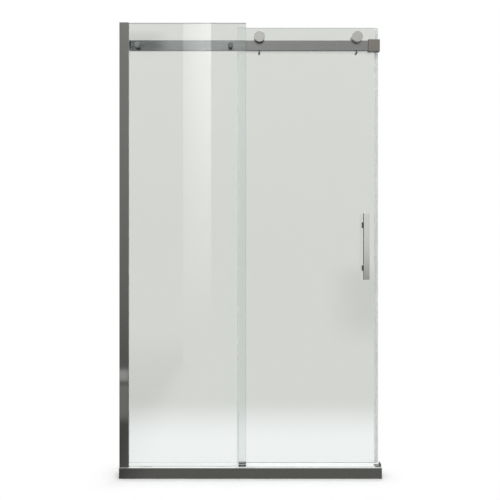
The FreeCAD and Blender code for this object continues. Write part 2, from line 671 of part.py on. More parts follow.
def make_header_bar():
    """A rectangular tube, with a hole in its front wall for each standoff's insert."""
    x = grown((LEFT_WALL_X, RIGHT_WALL_X), -WALL_PLATE_THICKNESS - BAR_END_GAP)
    y = (BAR_FRONT_Y, BAR_BACK_Y)
    z = (BAR_BOTTOM_Z, BAR_TOP_Z)
    bar = block(x, y, z)
    bar = bar.makeFillet(BAR_EDGE_RADIUS, long_edges(bar, TO_RIGHT))
    bar = bar.cut(block(grown(x, CUT_OVERRUN), grown(y, -BAR_WALL), grown(z, -BAR_WALL)))
    for standoff_x in STANDOFF_XS:
        hole_y = (BAR_FRONT_Y - CUT_OVERRUN, BAR_FRONT_Y + BAR_WALL + CUT_OVERRUN)
        bar = bar.cut(rod_y(INSERT_HOLE_R, standoff_x, hole_y, STANDOFF_Z))
    save("header_bar", bar)


def wall_plate(wall_x, inwards):
    """A plate on the wall inside the bracket, with two holes and two lugs inside the bar's tube."""
    face_x = wall_x + inwards * WALL_PLATE_THICKNESS
    lug_x = face_x + inwards * WALL_PLATE_LUG
    plate = block(
        sorted((wall_x, face_x)), (BAR_FRONT_Y, BAR_BACK_Y), (BAR_BOTTOM_Z, BAR_TOP_Z)
    )
    lug_y = grown((BAR_FRONT_Y, BAR_BACK_Y), -BAR_WALL - WALL_PLATE_LUG_GAP)
    low = BAR_BOTTOM_Z + BAR_WALL + WALL_PLATE_LUG_GAP
    high = BAR_TOP_Z - BAR_WALL - WALL_PLATE_LUG_GAP
    for lug_z in ((low, low + WALL_PLATE_LUG_HEIGHT), (high - WALL_PLATE_LUG_HEIGHT, high)):
        plate = plate.fuse(block(sorted((face_x, lug_x)), lug_y, lug_z))
    through_x = grown(sorted((wall_x, face_x)), CUT_OVERRUN)
    for z in around(BAR_MIDDLE_Z, PLATE_HOLE_SPACING):
        plate = plate.cut(rod_x(PLATE_HOLE_R, through_x, BAR_MIDDLE_Y, z))
        sink_start = FreeCAD.Vector(face_x, BAR_MIDDLE_Y, z)
        sink = Part.makeCone(
            PLATE_SINK_R, PLATE_HOLE_R, PLATE_SINK_DEPTH, sink_start, TO_RIGHT * -inwards
        )
        plate = plate.cut(sink)
    return plate


def bracket_sleeve(x):
    """A block with the bar's section cut through it along X."""
    y = grown((BAR_FRONT_Y, BAR_BACK_Y), BRACKET_SIDE_WALL)
    z = grown((BAR_BOTTOM_Z, BAR_TOP_Z), BRACKET_TOP_WALL)
    sleeve = block(x, y, z)
    sleeve = sleeve.makeFillet(BRACKET_EDGE_RADIUS, sleeve.Edges)
    room_y = grown((BAR_FRONT_Y, BAR_BACK_Y), BRACKET_BAR_GAP)
    room_z = grown((BAR_BOTTOM_Z, BAR_TOP_Z), BRACKET_BAR_GAP)
    return sleeve.cut(block(grown(x, CUT_OVERRUN), room_y, room_z))


def set_screw_places(x):
    """The X places of a bracket's set screws, spread evenly over its length."""
    step = (x[1] - x[0]) / (SET_SCREW_COUNT + 1)
    return [x[0] + step * (number + 1) for number in range(SET_SCREW_COUNT)]


def set_screws(x):
    """The set screws under one bracket, and the holes that they sit in."""
    z = (BAR_BOTTOM_Z - BRACKET_TOP_WALL, BAR_BOTTOM_Z)
    screws = []
    holes = []
    for screw_x in set_screw_places(x):
        screw = rod_z(SET_SCREW_R, screw_x, BAR_MIDDLE_Y, z)
        start = FreeCAD.Vector(screw_x, BAR_MIDDLE_Y, z[0])
        screws.append(screw.cut(key_socket(SET_SCREW_KEY_R, start, TO_TOP, SET_SCREW_KEY_DEPTH)))
        holes.append(rod_z(SET_SCREW_HOLE_R, screw_x, BAR_MIDDLE_Y, grown(z, CUT_OVERRUN)))
    return screws, holes


def make_right_bracket():
    """The closing wall's bracket, with its wall plate and set screws."""
    x = (RIGHT_WALL_X - RIGHT_BRACKET_LENGTH, RIGHT_WALL_X)
    screws, holes = set_screws(x)
    sleeve = bracket_sleeve(x)
    for hole in holes:
        sleeve = sleeve.cut(hole)
    save("bracket_right", sleeve)
    save("wall_plate_right", wall_plate(RIGHT_WALL_X, -1))
    save("bracket_right_set_screws", *screws)


def make_left_bracket():
    """The fixed panel's bracket, with an ear behind the bar that carries the door bumper."""
    x = (LEFT_WALL_X, LEFT_WALL_X + LEFT_BRACKET_LENGTH)
    screws, holes = set_screws(x)
    sleeve = bracket_sleeve(x)
    for hole in holes:
        sleeve = sleeve.cut(hole)
    ear_x = (LEFT_WALL_X, LEFT_WALL_X + EAR_THICKNESS)
    ear_front = BAR_BACK_Y + BRACKET_BAR_GAP + BRACKET_EDGE_RADIUS
    ear_y = (ear_front, BAR_BACK_Y + BRACKET_SIDE_WALL + EAR_DEPTH)
    sleeve = sleeve.fuse(block(ear_x, ear_y, around(BAR_MIDDLE_Z, EAR_HEIGHT)))
    stem_hole = rod_x(BUMPER_STEM_HOLE_R, grown(ear_x, CUT_OVERRUN), SLIDING_MIDDLE_Y, BAR_MIDDLE_Z)
    save("bracket_left", sleeve.cut(stem_hole))
    save("wall_plate_left", wall_plate(LEFT_WALL_X, 1))
    save("bracket_left_set_screws", *screws)


def make_door_bumper():
    """A rubber buffer that the rolling panel's edge meets when the door is fully open."""
    tip_x = SLIDING_LEFT_X - TRAVEL - BUMPER_GAP
    seat_x = LEFT_WALL_X + EAR_THICKNESS
    head = rod_x(BUMPER_R, (seat_x, tip_x), SLIDING_MIDDLE_Y, BAR_MIDDLE_Z)
    head = head.makeFillet(BUMPER_ROUND, rim(head, "X", tip_x, BUMPER_R))
    stem = rod_x(BUMPER_STEM_R, (LEFT_WALL_X, seat_x), SLIDING_MIDDLE_Y, BAR_MIDDLE_Z)
    save("door_bumper", head.fuse(stem))


def make_standoffs():
    """Cap, washers, sleeve, spacer, stud and bar insert of each standoff."""
    pieces = {}
    front_washer_y = (FIXED_FRONT_Y - STANDOFF_WASHER_THICKNESS, FIXED_FRONT_Y)
    back_washer_y = (FIXED_BACK_Y, FIXED_BACK_Y + STANDOFF_WASHER_THICKNESS)
    cap_y = (front_washer_y[0] - STANDOFF_CAP_LENGTH, front_washer_y[0])
    flange_y = (BAR_FRONT_Y - INSERT_FLANGE_THICKNESS, BAR_FRONT_Y)
    insert_y = (BAR_FRONT_Y, BAR_FRONT_Y + INSERT_LENGTH)
    stud_y = (cap_y[1] - STANDOFF_STUD_REACH, insert_y[1])
    for x in STANDOFF_XS:
        cap = rod_y(STANDOFF_CAP_R, x, cap_y, STANDOFF_Z)
        cap = cap.makeFillet(STANDOFF_CAP_ROUND, rim(cap, "Y", cap_y[0], STANDOFF_CAP_R))
        bore_y = (stud_y[0], cap_y[1] + CUT_OVERRUN)
        cap = cap.cut(rod_y(STANDOFF_STUD_HOLE_R, x, bore_y, STANDOFF_Z))
        pieces.setdefault("standoff_caps", []).append(cap)
        for y in (front_washer_y, back_washer_y):
            washer = ring_y(STANDOFF_WASHER_R, STANDOFF_STUD_HOLE_R, x, y, STANDOFF_Z)
            pieces.setdefault("standoff_washers", []).append(washer)
        sleeve_r = STANDOFF_GLASS_HOLE_R - STANDOFF_SLEEVE_GAP
        sleeve = ring_y(sleeve_r, STANDOFF_STUD_HOLE_R, x, (FIXED_FRONT_Y, FIXED_BACK_Y), STANDOFF_Z)
        pieces.setdefault("standoff_sleeves", []).append(sleeve)
        spacer_y = (back_washer_y[1], BAR_FRONT_Y)
        spacer = ring_y(STANDOFF_SPACER_R, STANDOFF_STUD_HOLE_R, x, spacer_y, STANDOFF_Z)
        seat = rod_y(INSERT_FLANGE_R + INSERT_FLANGE_GAP, x, grown(flange_y, INSERT_FLANGE_GAP), STANDOFF_Z)
        pieces.setdefault("standoff_spacers", []).append(spacer.cut(seat))
        stud = rod_y(STANDOFF_STUD_R, x, stud_y, STANDOFF_Z)
        pieces.setdefault("standoff_studs", []).append(stud)
        flange = ring_y(INSERT_FLANGE_R, STANDOFF_STUD_HOLE_R, x, flange_y, STANDOFF_Z)
        insert = ring_y(INSERT_R, STANDOFF_STUD_HOLE_R, x, insert_y, STANDOFF_Z)
        pieces.setdefault("standoff_inserts", []).append(flange.fuse(insert))
    for name, solids in pieces.items():
        save(name, *solids)


def make_bottom_guide():
    """The guide block, the liners of its slot and its two screws."""
    nose_y = FIXED_BACK_Y + GUIDE_GLASS_GAP
    nose_back_y = nose_y + GUIDE_NOSE_DEPTH
    front_wall_y = guide_front_wall_y()
    back_wall_y = guide_back_wall_y()
    slot_front_y = front_wall_y + GUIDE_WALL
    slot_back_y = back_wall_y - GUIDE_WALL
    nose_z = SILL_HEIGHT + GUIDE_NOSE_HEIGHT
    floor_z = SILL_HEIGHT + GUIDE_FLOOR_HEIGHT
    wall_z = SILL_HEIGHT + GUIDE_WALL_HEIGHT
    outline = [
        (nose_y, SILL_HEIGHT),
        (back_wall_y, SILL_HEIGHT),
        (back_wall_y, wall_z),
        (slot_back_y, wall_z),
        (slot_back_y, floor_z),
        (slot_front_y, floor_z),
        (slot_front_y, wall_z),
        (front_wall_y, wall_z),
        (front_wall_y, floor_z),
        (nose_back_y, floor_z),
        (nose_back_y, nose_z),
        (nose_y, nose_z),
    ]
    base = prism_x(outline, GUIDE_X)
    places, screw_y = guide_screw_places()
    outer = []
    for edge in long_edges(base, TO_RIGHT):
        at_nose = abs(edge.BoundBox.ZMin - nose_z) < EDGE_MATCH
        at_back = abs(edge.BoundBox.YMin - back_wall_y) < EDGE_MATCH and edge.BoundBox.ZMin > floor_z
        if at_nose or at_back:
            outer.append(edge)
    base = base.makeFillet(GUIDE_EDGE_RADIUS, outer)
    screws = []
    for x, hole in zip(places, guide_screw_holes()):
        start = FreeCAD.Vector(x, screw_y, floor_z - GUIDE_SCREW_HEAD_DEPTH)
        sink = Part.makeCone(
            GUIDE_SCREW_HOLE_R, GUIDE_SCREW_HEAD_R, GUIDE_SCREW_HEAD_DEPTH, start, TO_TOP
        )
        base = base.cut(hole).cut(sink)
        head = Part.makeCone(GUIDE_SCREW_R, GUIDE_SCREW_HEAD_R, GUIDE_SCREW_HEAD_DEPTH, start, TO_TOP)
        head = head.common(sink)
        shank = rod_z(GUIDE_SCREW_R, x, screw_y, (floor_z - GUIDE_SCREW_LENGTH, start.z))
        socket_start = FreeCAD.Vector(x, screw_y, floor_z)
        socket_depth = GUIDE_SCREW_HEAD_DEPTH * DRIVE_DEPTH_SHARE
        socket = key_socket(GUIDE_SCREW_R, socket_start, TO_TOP * -1, socket_depth)
        screws.append(head.fuse(shank).cut(socket))
    save("guide_base", base)
    liner_z = (floor_z, wall_z - GUIDE_LINER_DROP)
    front_liner = block(GUIDE_X, (slot_front_y, slot_front_y + GUIDE_LINER_THICKNESS), liner_z)
    back_liner = block(GUIDE_X, (slot_back_y - GUIDE_LINER_THICKNESS, slot_back_y), liner_z)
    save("guide_liners", front_liner, back_liner)
    save("guide_screws", *screws)


def make_sliding_glass():
    """The rolling panel, with holes for its rollers, pins and handle."""
    y = (SLIDING_FRONT_Y, SLIDING_BACK_Y)
    through_y = grown(y, CUT_OVERRUN)
    glass = block((SLIDING_LEFT_X, SLIDING_RIGHT_X), y, (SLIDING_FOOT_Z, SLIDING_TOP_Z))
    glass = glass.makeChamfer(GLASS_EDGE_BEVEL, glass.Edges)
    for x in ROLLER_XS:
        glass = glass.cut(rod_y(ROLLER_GLASS_HOLE_R, x, through_y, WHEEL_Z))
        glass = glass.cut(rod_y(PIN_GLASS_HOLE_R, x, through_y, PIN_Z))
    for z in HANDLE_POST_ZS:
        glass = glass.cut(rod_y(HANDLE_GLASS_HOLE_R, HANDLE_X, through_y, z))
    save("sliding_glass", glass)


def seal_clip(edge_x, inwards, z):
    """A U-shaped clip over an upright edge of the rolling panel. inwards points into the glass."""
    outer_y = grown((SLIDING_FRONT_Y, SLIDING_BACK_Y), SEAL_THICKNESS)
    web_x = edge_x - inwards * SEAL_THICKNESS
    leg_x = edge_x + inwards * SEAL_LEG
    clip = block(sorted((web_x, leg_x)), outer_y, z)
    room = block(sorted((edge_x, leg_x + inwards * CUT_OVERRUN)), (SLIDING_FRONT_Y, SLIDING_BACK_Y), z)
    return clip.cut(room)


def make_side_seal():
    """The clip on the trailing edge, with a thin fin that leans towards the fixed glass."""
    guide_top_z = SILL_HEIGHT + GUIDE_WALL_HEIGHT
    z = (guide_top_z + SIDE_SEAL_FOOT_GAP, BAR_BOTTOM_Z - SIDE_SEAL_TOP_GAP)
    root_y = SLIDING_FRONT_Y - SEAL_THICKNESS
    tip_y = root_y - SIDE_SEAL_FIN
    root_x = SLIDING_LEFT_X - SEAL_THICKNESS
    outline = [
        (root_x, root_y),
        (root_x, root_y + SEAL_THICKNESS),
        (root_x + SEAL_THICKNESS, root_y + SEAL_THICKNESS),
        (root_x + SEAL_THICKNESS, root_y),
        (root_x + SEAL_THICKNESS - SIDE_SEAL_FIN_LEAN, tip_y),
        (root_x - SIDE_SEAL_FIN_LEAN, tip_y),
    ]
    seal = seal_clip(SLIDING_LEFT_X, 1, z).fuse(prism_z(outline, z))
    save("side_seal", seal.removeSplitter())


def make_bumper_seal():
    """The clip on the leading edge, with a hollow bulb that meets the wall softly."""
    z = (SLIDING_FOOT_Z, SLIDING_TOP_Z)
    web_x = SLIDING_RIGHT_X + SEAL_THICKNESS
    bulb_x = web_x + SEAL_BULB_R - SEAL_BULB_WALL
    bulb = rod_z(SEAL_BULB_R, bulb_x, SLIDING_MIDDLE_Y, z)
    clip = seal_clip(SLIDING_RIGHT_X, -1, z)
    inner_r = SEAL_BULB_R - SEAL_BULB_WALL
    room = rod_z(inner_r, bulb_x, SLIDING_MIDDLE_Y, grown(z, CUT_OVERRUN))
    outside = block(
        (web_x, bulb_x + SEAL_BULB_R), around(SLIDING_MIDDLE_Y, 2 * SEAL_BULB_R), z
    )
    save("bumper_seal", clip.fuse(bulb.cut(room).common(outside)))


def make_wheel(side, x):
    """One grooved wheel: hub, two flanges, soft tread and two bearings."""
    hub = ring_y(HUB_R, BEARING_R, x, (WHEEL_FRONT_Y, WHEEL_BACK_Y), WHEEL_Z)
    groove_y = grown((BAR_FRONT_Y, BAR_BACK_Y), WHEEL_SIDE_GAP)
    front_flange = ring_y(FLANGE_R, HUB_R, x, (WHEEL_FRONT_Y, groove_y[0]), WHEEL_Z)
    back_flange = ring_y(FLANGE_R, HUB_R, x, (groove_y[1], WHEEL_BACK_Y), WHEEL_Z)
    tread = ring_y(TREAD_R, HUB_R, x, groove_y, WHEEL_Z)
    save(side + "_wheel_hub", hub)
    save(side + "_wheel_flanges", front_flange, back_flange)
    save(side + "_wheel_tread", tread)
    bearings = []
    for y in (
        (BEARING_FRONT_Y, BEARING_FRONT_Y + BEARING_WIDTH),
        (BEARING_BACK_Y - BEARING_WIDTH, BEARING_BACK_Y),
    ):
        bearing = ring_y(BEARING_R, AXLE_R + AXLE_RUNNING_GAP, x, y, WHEEL_Z)
        for face_y in (
            (y[0] - CUT_OVERRUN, y[0] + BEARING_GROOVE_DEPTH),
            (y[1] - BEARING_GROOVE_DEPTH, y[1] + CUT_OVERRUN),
        ):
            groove = ring_y(BEARING_GROOVE_OUTER_R, BEARING_GROOVE_INNER_R, x, face_y, WHEEL_Z)
            bearing = bearing.cut(groove)
        bearings.append(bearing)
    save(side + "_wheel_bearings", *bearings)


def roller_cap(x):
    """A hollow cap in front of a wheel, with a threaded boss for the axle."""
    cap = rod_y(ROLLER_CAP_R, x, (CAP_FRONT_Y, CAP_BACK_Y), WHEEL_Z)
    cap = cap.makeFillet(ROLLER_CAP_ROUND, rim(cap, "Y", CAP_FRONT_Y, ROLLER_CAP_R))
    room_y = (CAP_FRONT_Y + ROLLER_CAP_FACE, CAP_BACK_Y + CUT_OVERRUN)
    cap = cap.cut(rod_y(ROLLER_CAP_R - ROLLER_CAP_WALL, x, room_y, WHEEL_Z))
    cap = cap.fuse(rod_y(ROLLER_CAP_BOSS_R, x, (room_y[0], CAP_BOSS_Y), WHEEL_Z))
    thread_y = (CAP_BOSS_Y - ROLLER_CAP_THREAD_DEPTH, CAP_BOSS_Y + CUT_OVERRUN)
    return cap.cut(rod_y(AXLE_THREAD_R + AXLE_THREAD_GAP, x, thread_y, WHEEL_Z))


def roller_axle(x):
    """A stepped axle: front thread, collar, bearing seat and rear thread."""
    collar_y = (CAP_BOSS_Y, BEARING_FRONT_Y - AXLE_END_GAP)
    thread_y = (CAP_BOSS_Y - ROLLER_CAP_THREAD_DEPTH, CAP_BOSS_Y)
    seat_y = (collar_y[1], REAR_DISC_Y)
    rear_y = (REAR_DISC_Y, REAR_DISC_Y + REAR_DISC_THREAD_DEPTH)
    axle = rod_y(AXLE_THREAD_R, x, thread_y, WHEEL_Z)
    axle = axle.fuse(rod_y(AXLE_COLLAR_R, x, collar_y, WHEEL_Z))
    axle = axle.fuse(rod_y(AXLE_R, x, seat_y, WHEEL_Z))
    return axle.fuse(rod_y(AXLE_THREAD_R, x, rear_y, WHEEL_Z))


def rear_disc(x):
    """The disc that clamps the glass from behind, with two blind holes for a pin key."""
    y = (REAR_DISC_Y, REAR_DISC_Y + REAR_DISC_THICKNESS)
    disc = rod_y(REAR_DISC_R, x, y, WHEEL_Z)
    disc = disc.makeFillet(REAR_DISC_ROUND, rim(disc, "Y", y[1], REAR_DISC_R))
    bore_y = (y[0] - CUT_OVERRUN, y[0] + REAR_DISC_THREAD_DEPTH)
    disc = disc.cut(rod_y(AXLE_THREAD_R + AXLE_THREAD_GAP, x, bore_y, WHEEL_Z))
    key_y = (y[1] - REAR_DISC_KEY_DEPTH, y[1] + CUT_OVERRUN)
    for key_x in around(x, REAR_DISC_KEY_SPACING):
        disc = disc.cut(rod_y(REAR_DISC_KEY_R, key_x, key_y, WHEEL_Z))
    return disc


def roller_spacer(x):
    """A stepped ring between the rear bearing and the glass."""
    nose_front_y = BEARING_BACK_Y + AXLE_END_GAP
    step_y = WHEEL_BACK_Y + ROLLER_SPACER_NOSE_GAP
    back_y = SLIDING_FRONT_Y - ROLLER_WASHER_THICKNESS
    bore_r = AXLE_R + AXLE_THREAD_GAP
    nose = ring_y(ROLLER_SPACER_NOSE_R, bore_r, x, (nose_front_y, step_y), WHEEL_Z)
    return nose.fuse(ring_y(ROLLER_SPACER_R, bore_r, x, (step_y, back_y), WHEEL_Z))


def make_rollers():
    """The wheels, and the fittings that carry them on the glass."""
    for side, x in zip(("left", "right"), ROLLER_XS):
        make_wheel(side, x)
    save("roller_caps", *[roller_cap(x) for x in ROLLER_XS])
    save("roller_axles", *[roller_axle(x) for x in ROLLER_XS])
    save("roller_spacers", *[roller_spacer(x) for x in ROLLER_XS])
    save("roller_rear_discs", *[rear_disc(x) for x in ROLLER_XS])
    bore_r = AXLE_R + AXLE_THREAD_GAP
    bushing_r = ROLLER_GLASS_HOLE_R - ROLLER_BUSHING_GAP
    front_y = (SLIDING_FRONT_Y - ROLLER_WASHER_THICKNESS, SLIDING_FRONT_Y)
    back_y = (SLIDING_BACK_Y, SLIDING_BACK_Y + ROLLER_WASHER_THICKNESS)
    bushings = []
    washers = []
    for x in ROLLER_XS:
        bushings.append(ring_y(bushing_r, bore_r, x, (SLIDING_FRONT_Y, SLIDING_BACK_Y), WHEEL_Z))
        washers.append(ring_y(ROLLER_FRONT_WASHER_R, bore_r, x, front_y, WHEEL_Z))
        washers.append(ring_y(ROLLER_REAR_WASHER_R, bore_r, x, back_y, WHEEL_Z))
    save("roller_glass_bushings", *bushings)
    save("roller_washers", *washers)


def make_anti_jump_pins():
    """A pin below the bar under each wheel, its washers and its rear nut."""
    head_y = (BAR_BACK_Y - PIN_OVERLAP, SLIDING_FRONT_Y - PIN_WASHER_THICKNESS)
    front_washer_y = (head_y[1], SLIDING_FRONT_Y)
    back_washer_y = (SLIDING_BACK_Y, SLIDING_BACK_Y + PIN_WASHER_THICKNESS)
    nut_y = (back_washer_y[1], back_washer_y[1] + PIN_NUT_LENGTH)
    stud_y = (head_y[1], nut_y[0] + PIN_STUD_REACH)
    pins = []
    washers = []
    nuts = []
    for x in ROLLER_XS:
        head = rod_y(PIN_R, x, head_y, PIN_Z)
        head = head.makeFillet(PIN_ROUND, rim(head, "Y", head_y[0], PIN_R))
        pins.append(head.fuse(rod_y(PIN_STUD_R, x, stud_y, PIN_Z)))
        for y in (front_washer_y, back_washer_y):
            washers.append(ring_y(PIN_WASHER_R, PIN_STUD_HOLE_R, x, y, PIN_Z))
        nut = rod_y(PIN_NUT_R, x, nut_y, PIN_Z)
        nut = nut.makeFillet(PIN_ROUND, rim(nut, "Y", nut_y[1], PIN_NUT_R))
        bore_y = (nut_y[0] - CUT_OVERRUN, stud_y[1])
        nuts.append(nut.cut(rod_y(PIN_STUD_HOLE_R, x, bore_y, PIN_Z)))
    save("anti_jump_pins", *pins)
    save("anti_jump_washers", *washers)
    save("anti_jump_nuts", *nuts)


def make_handle():
    """The grip bar, its two posts and what clamps them to the glass."""
    post_back_y = SLIDING_FRONT_Y - HANDLE_GASKET_THICKNESS
    grip_back_y = SLIDING_FRONT_Y - HANDLE_FINGER_ROOM
    grip_y = (grip_back_y - HANDLE_GRIP_DEPTH, grip_back_y)
    x = around(HANDLE_X, HANDLE_WIDTH)
    grip = block(x, grip_y, around(HANDLE_CENTRE_HEIGHT, HANDLE_LENGTH))
    grip = grip.makeFillet(HANDLE_EDGE_RADIUS, grip.Edges)
    plate_y = (
        SLIDING_BACK_Y + HANDLE_GASKET_THICKNESS,
        SLIDING_BACK_Y + HANDLE_GASKET_THICKNESS + HANDLE_BACK_PLATE_THICKNESS,
    )
    bolt_y = (grip_back_y - HANDLE_BOLT_REACH, plate_y[1])
    thread_y = (bolt_y[0] - HANDLE_BOLT_END_ROOM, bolt_y[1] + CUT_OVERRUN)
    head_front_y = plate_y[1] - HANDLE_BOLT_HEAD_DEPTH
    posts = []
    gaskets = []
    sleeves = []
    plates = []
    bolts = []
    for z in HANDLE_POST_ZS:
        bore = rod_y(HANDLE_BOLT_HOLE_R, HANDLE_X, thread_y, z)
        post_z = around(z, HANDLE_POST_HEIGHT)
        post = block(x, (grip_back_y, post_back_y), post_z)
        post = post.makeFillet(HANDLE_POST_RADIUS, long_edges(post, TO_BACK))
        grip = grip.cut(bore)
        posts.append(post.cut(bore))
        pad_x = grown(x, -HANDLE_GASKET_INSET)
        pad_z = grown(post_z, -HANDLE_GASKET_INSET)
        for pad_y in ((post_back_y, SLIDING_FRONT_Y), (SLIDING_BACK_Y, plate_y[0])):
            gaskets.append(block(pad_x, pad_y, pad_z).cut(bore))
        sleeve_r = HANDLE_GLASS_HOLE_R - HANDLE_SLEEVE_GAP
        sleeve_y = (SLIDING_FRONT_Y, SLIDING_BACK_Y)
        sleeves.append(ring_y(sleeve_r, HANDLE_BOLT_HOLE_R, HANDLE_X, sleeve_y, z))
        plate = block(x, plate_y, post_z)
        plate = plate.makeFillet(HANDLE_POST_RADIUS, long_edges(plate, TO_BACK))
        head_y = (head_front_y, plate_y[1] + CUT_OVERRUN)
        seat = rod_y(HANDLE_BOLT_HEAD_R + HANDLE_BOLT_HEAD_GAP, HANDLE_X, head_y, z)
        plates.append(plate.cut(bore).cut(seat))
        head = rod_y(HANDLE_BOLT_HEAD_R, HANDLE_X, (head_front_y, plate_y[1]), z)
        bolt = head.fuse(rod_y(HANDLE_BOLT_R, HANDLE_X, (bolt_y[0], head_front_y), z))
        start = FreeCAD.Vector(HANDLE_X, plate_y[1], z)
        socket_depth = HANDLE_BOLT_HEAD_DEPTH * DRIVE_DEPTH_SHARE
        socket = key_socket(HANDLE_BOLT_R, start, TO_BACK * -1, socket_depth)
        bolts.append(bolt.cut(socket))
    save("handle_grip", grip)
    save("handle_posts", *posts)
    save("handle_gaskets", *gaskets)
    save("handle_sleeves", *sleeves)
    save("handle_back_plates", *plates)
    save("handle_bolts", *bolts)


os.makedirs("parts", exist_ok=True)
make_sill()
make_threshold_strip()
make_corner_dam()
make_wall_channel()
make_jamb()
make_jamb_gaskets()
make_jamb_top_cap()
make_clamp_screws()
make_fixed_glass()
make_header_bar()
make_right_bracket()
make_left_bracket()
make_door_bumper()
make_standoffs()
make_bottom_guide()
make_sliding_glass()
make_side_seal()
make_bumper_seal()
make_rollers()
make_anti_jump_pins()
make_handle()
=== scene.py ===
"""Finishes, glazing lips, studio and camera of a sliding glass shower door.

Everything is in metres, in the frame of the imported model: X along the sill, Y into the shower, Z up.
"""

import math

import bmesh
import bpy
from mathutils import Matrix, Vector


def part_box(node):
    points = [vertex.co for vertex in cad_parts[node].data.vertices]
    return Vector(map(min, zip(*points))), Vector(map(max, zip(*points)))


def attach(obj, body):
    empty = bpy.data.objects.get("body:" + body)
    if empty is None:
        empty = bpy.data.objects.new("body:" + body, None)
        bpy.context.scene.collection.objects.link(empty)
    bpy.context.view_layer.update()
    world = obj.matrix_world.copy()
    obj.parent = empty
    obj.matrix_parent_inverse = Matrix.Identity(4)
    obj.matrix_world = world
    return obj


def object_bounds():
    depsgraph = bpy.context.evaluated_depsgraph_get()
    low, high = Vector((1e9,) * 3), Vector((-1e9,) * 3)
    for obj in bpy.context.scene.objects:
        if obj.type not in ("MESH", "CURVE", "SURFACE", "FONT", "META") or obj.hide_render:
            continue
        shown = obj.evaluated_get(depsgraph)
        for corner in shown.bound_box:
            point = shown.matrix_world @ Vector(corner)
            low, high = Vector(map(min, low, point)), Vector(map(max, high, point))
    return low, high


bl_info = {
    "name": "Sliding Shower Door",
    "version": (1, 0, 0),
    "blender": (4, 5, 0),
    "location": "View3D > Sidebar > Shower Door",
    "description": "Finishes, glazing lips, studio and camera of a sliding glass shower door",
    "category": "Object",
}

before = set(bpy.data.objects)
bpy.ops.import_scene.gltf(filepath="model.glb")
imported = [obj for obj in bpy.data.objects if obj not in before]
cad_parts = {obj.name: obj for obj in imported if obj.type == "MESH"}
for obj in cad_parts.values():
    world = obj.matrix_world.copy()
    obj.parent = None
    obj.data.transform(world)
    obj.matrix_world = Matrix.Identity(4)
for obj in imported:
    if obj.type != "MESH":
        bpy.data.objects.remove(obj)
CAD_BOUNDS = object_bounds()

# Widths in metres of the panes' ground border and of the line along the fixed pane's top
GROUND_BORDER = 0.0018
FIXED_TOP_LINE = 0.0045

# Noise scales in features per metre, the stretch that draws a noise out along an axis, and scratch depth
DRAWN_LINES = 2600.0
DRAWN_STREAKS = 260.0
LATHE_RINGS = 5200.0
EXTRUSION_LINES = 1500.0
ALONG = {"X": (0.02, 1.0, 1.0), "Y": (1.0, 0.02, 1.0), "Z": (1.0, 1.0, 0.02)}
SCRATCH_DEPTH = 0.00005
# Grain of moulded pieces: features per metre and depth
FINE_GRAIN = (900.0, 0.00001)
MATT_GRAIN = (1600.0, 0.00001)
NYLON_GRAIN = (1200.0, 0.00003)
RUBBER_GRAIN = (1400.0, 0.00002)

# Refraction and roughness, the grey that upward faces turn, and the colour of the painted highlight on front
# ends
GLASS_IOR = 1.5
METAL_IOR = 1.5
DULL_METAL_IOR = 1.15
PLASTIC_IOR = 1.48
POST_IOR = 1.20
MATT_IOR = 1.12
VINYL_IOR = 1.45
VINYL_ROUGHNESS = 0.22
GLASS_EDGE_ROUGHNESS = 0.10
DULL_ROUGHNESS = 0.45
TOP_GREY_COLOUR = (0.35, 0.35, 0.34)
END_HIGHLIGHT_COLOUR = (0.75, 0.75, 0.72)

# How much of a glazing lip's height its rim is rounded over, and in how many steps
LIP_ROUNDING = 0.8
LIP_STEPS = 6
# Edges that turn less than this are shaded smooth
SMOOTH_ANGLE = math.radians(40)

# Strength of the stage light, where 1 is white, and the sine of the height at which it is full overhead
SURFACE_LIGHT = 0.8
HIGH_LIGHT = 1.35
HIGH_SINE = 0.32
FLOOR_MIRROR_LIGHT = 0.05
STRIP_LIGHT = 4.0
# White to the camera, through glass near the door and through glass further away, and the distances in
# metres between which the second turns into the third
WHITE = (1.0, 1.0, 1.0)
WHITE_BEHIND_GLASS = (1.0, 1.0, 0.99)
PALE_BEHIND_GLASS = (0.738, 0.731, 0.696)
PALE_DISTANCES = (0.5, 1.7)
# Distances in metres over which the floor turns white to the camera, and in metal and glass
FLOOR_FADE = (0.0, 0.20)
FLOOR_MIRROR_FADE = (1.0, 7.0)
# Places along the sill between which the mirrored floor turns from dark to white
FLOOR_DARK_SIDE = (-0.72, -0.42)
FLOOR_SIZE = 60.0
FLOOR_DROP = 0.0005
# Width of the camera's sensor in millimetres, and the camera's place in front of the door
SENSOR_WIDTH = 36.0
CAMERA_Y = -3.085
# Lamps: name, place, target and size
KEY_LAMP = ("key_lamp", (0.25, -2.6, 4.3), (0.0, 0.0, 1.3), (2.4, 1.2))
BACK_LAMP = ("back_lamp", (0.6, 2.9, 3.9), (0.0, 0.0, 1.0), (2.0, 1.2))
# Lower left and upper right corners, in X and Z, of the tall light strip, and the reach of its dimmer side
STRIP_CORNERS = ((-0.514, 0.05), (-0.267, 3.30))
STRIP_SOFTNESS = 0.10
# Soft cards that metal and glass mirror: name, lower left and upper right corners, widths of the soft left,
# right, bottom and top edges, and brightness
SOFT_CARDS = (
    ("bar_end_card", (-1.30, -1.5, 2.29), (-0.46, -1.5, 2.47), (0.12, 0.16, 0.06, 0.06), 0.03),
    ("handle_card", (0.70, CAMERA_Y, 0.12), (1.80, CAMERA_Y, 0.97), (0.40, 0.30, 0.40, 0.18), 0.01),
    ("bar_glow", (-0.68, CAMERA_Y, 3.08), (-0.16, CAMERA_Y, 3.66), (0.10, 0.10, 0.10, 0.10), 3.9),
    ("jamb_patch", (-0.60, -0.08, 0.416), (-0.537, -0.08, 0.469), (0.004, 0.006, 0.004, 0.003), 2.25),
    ("jamb_glow", (-0.60, -0.08, 0.222), (-0.537, -0.08, 0.400), (0.004, 0.006, 0.05, 0.004), 1.15),
)


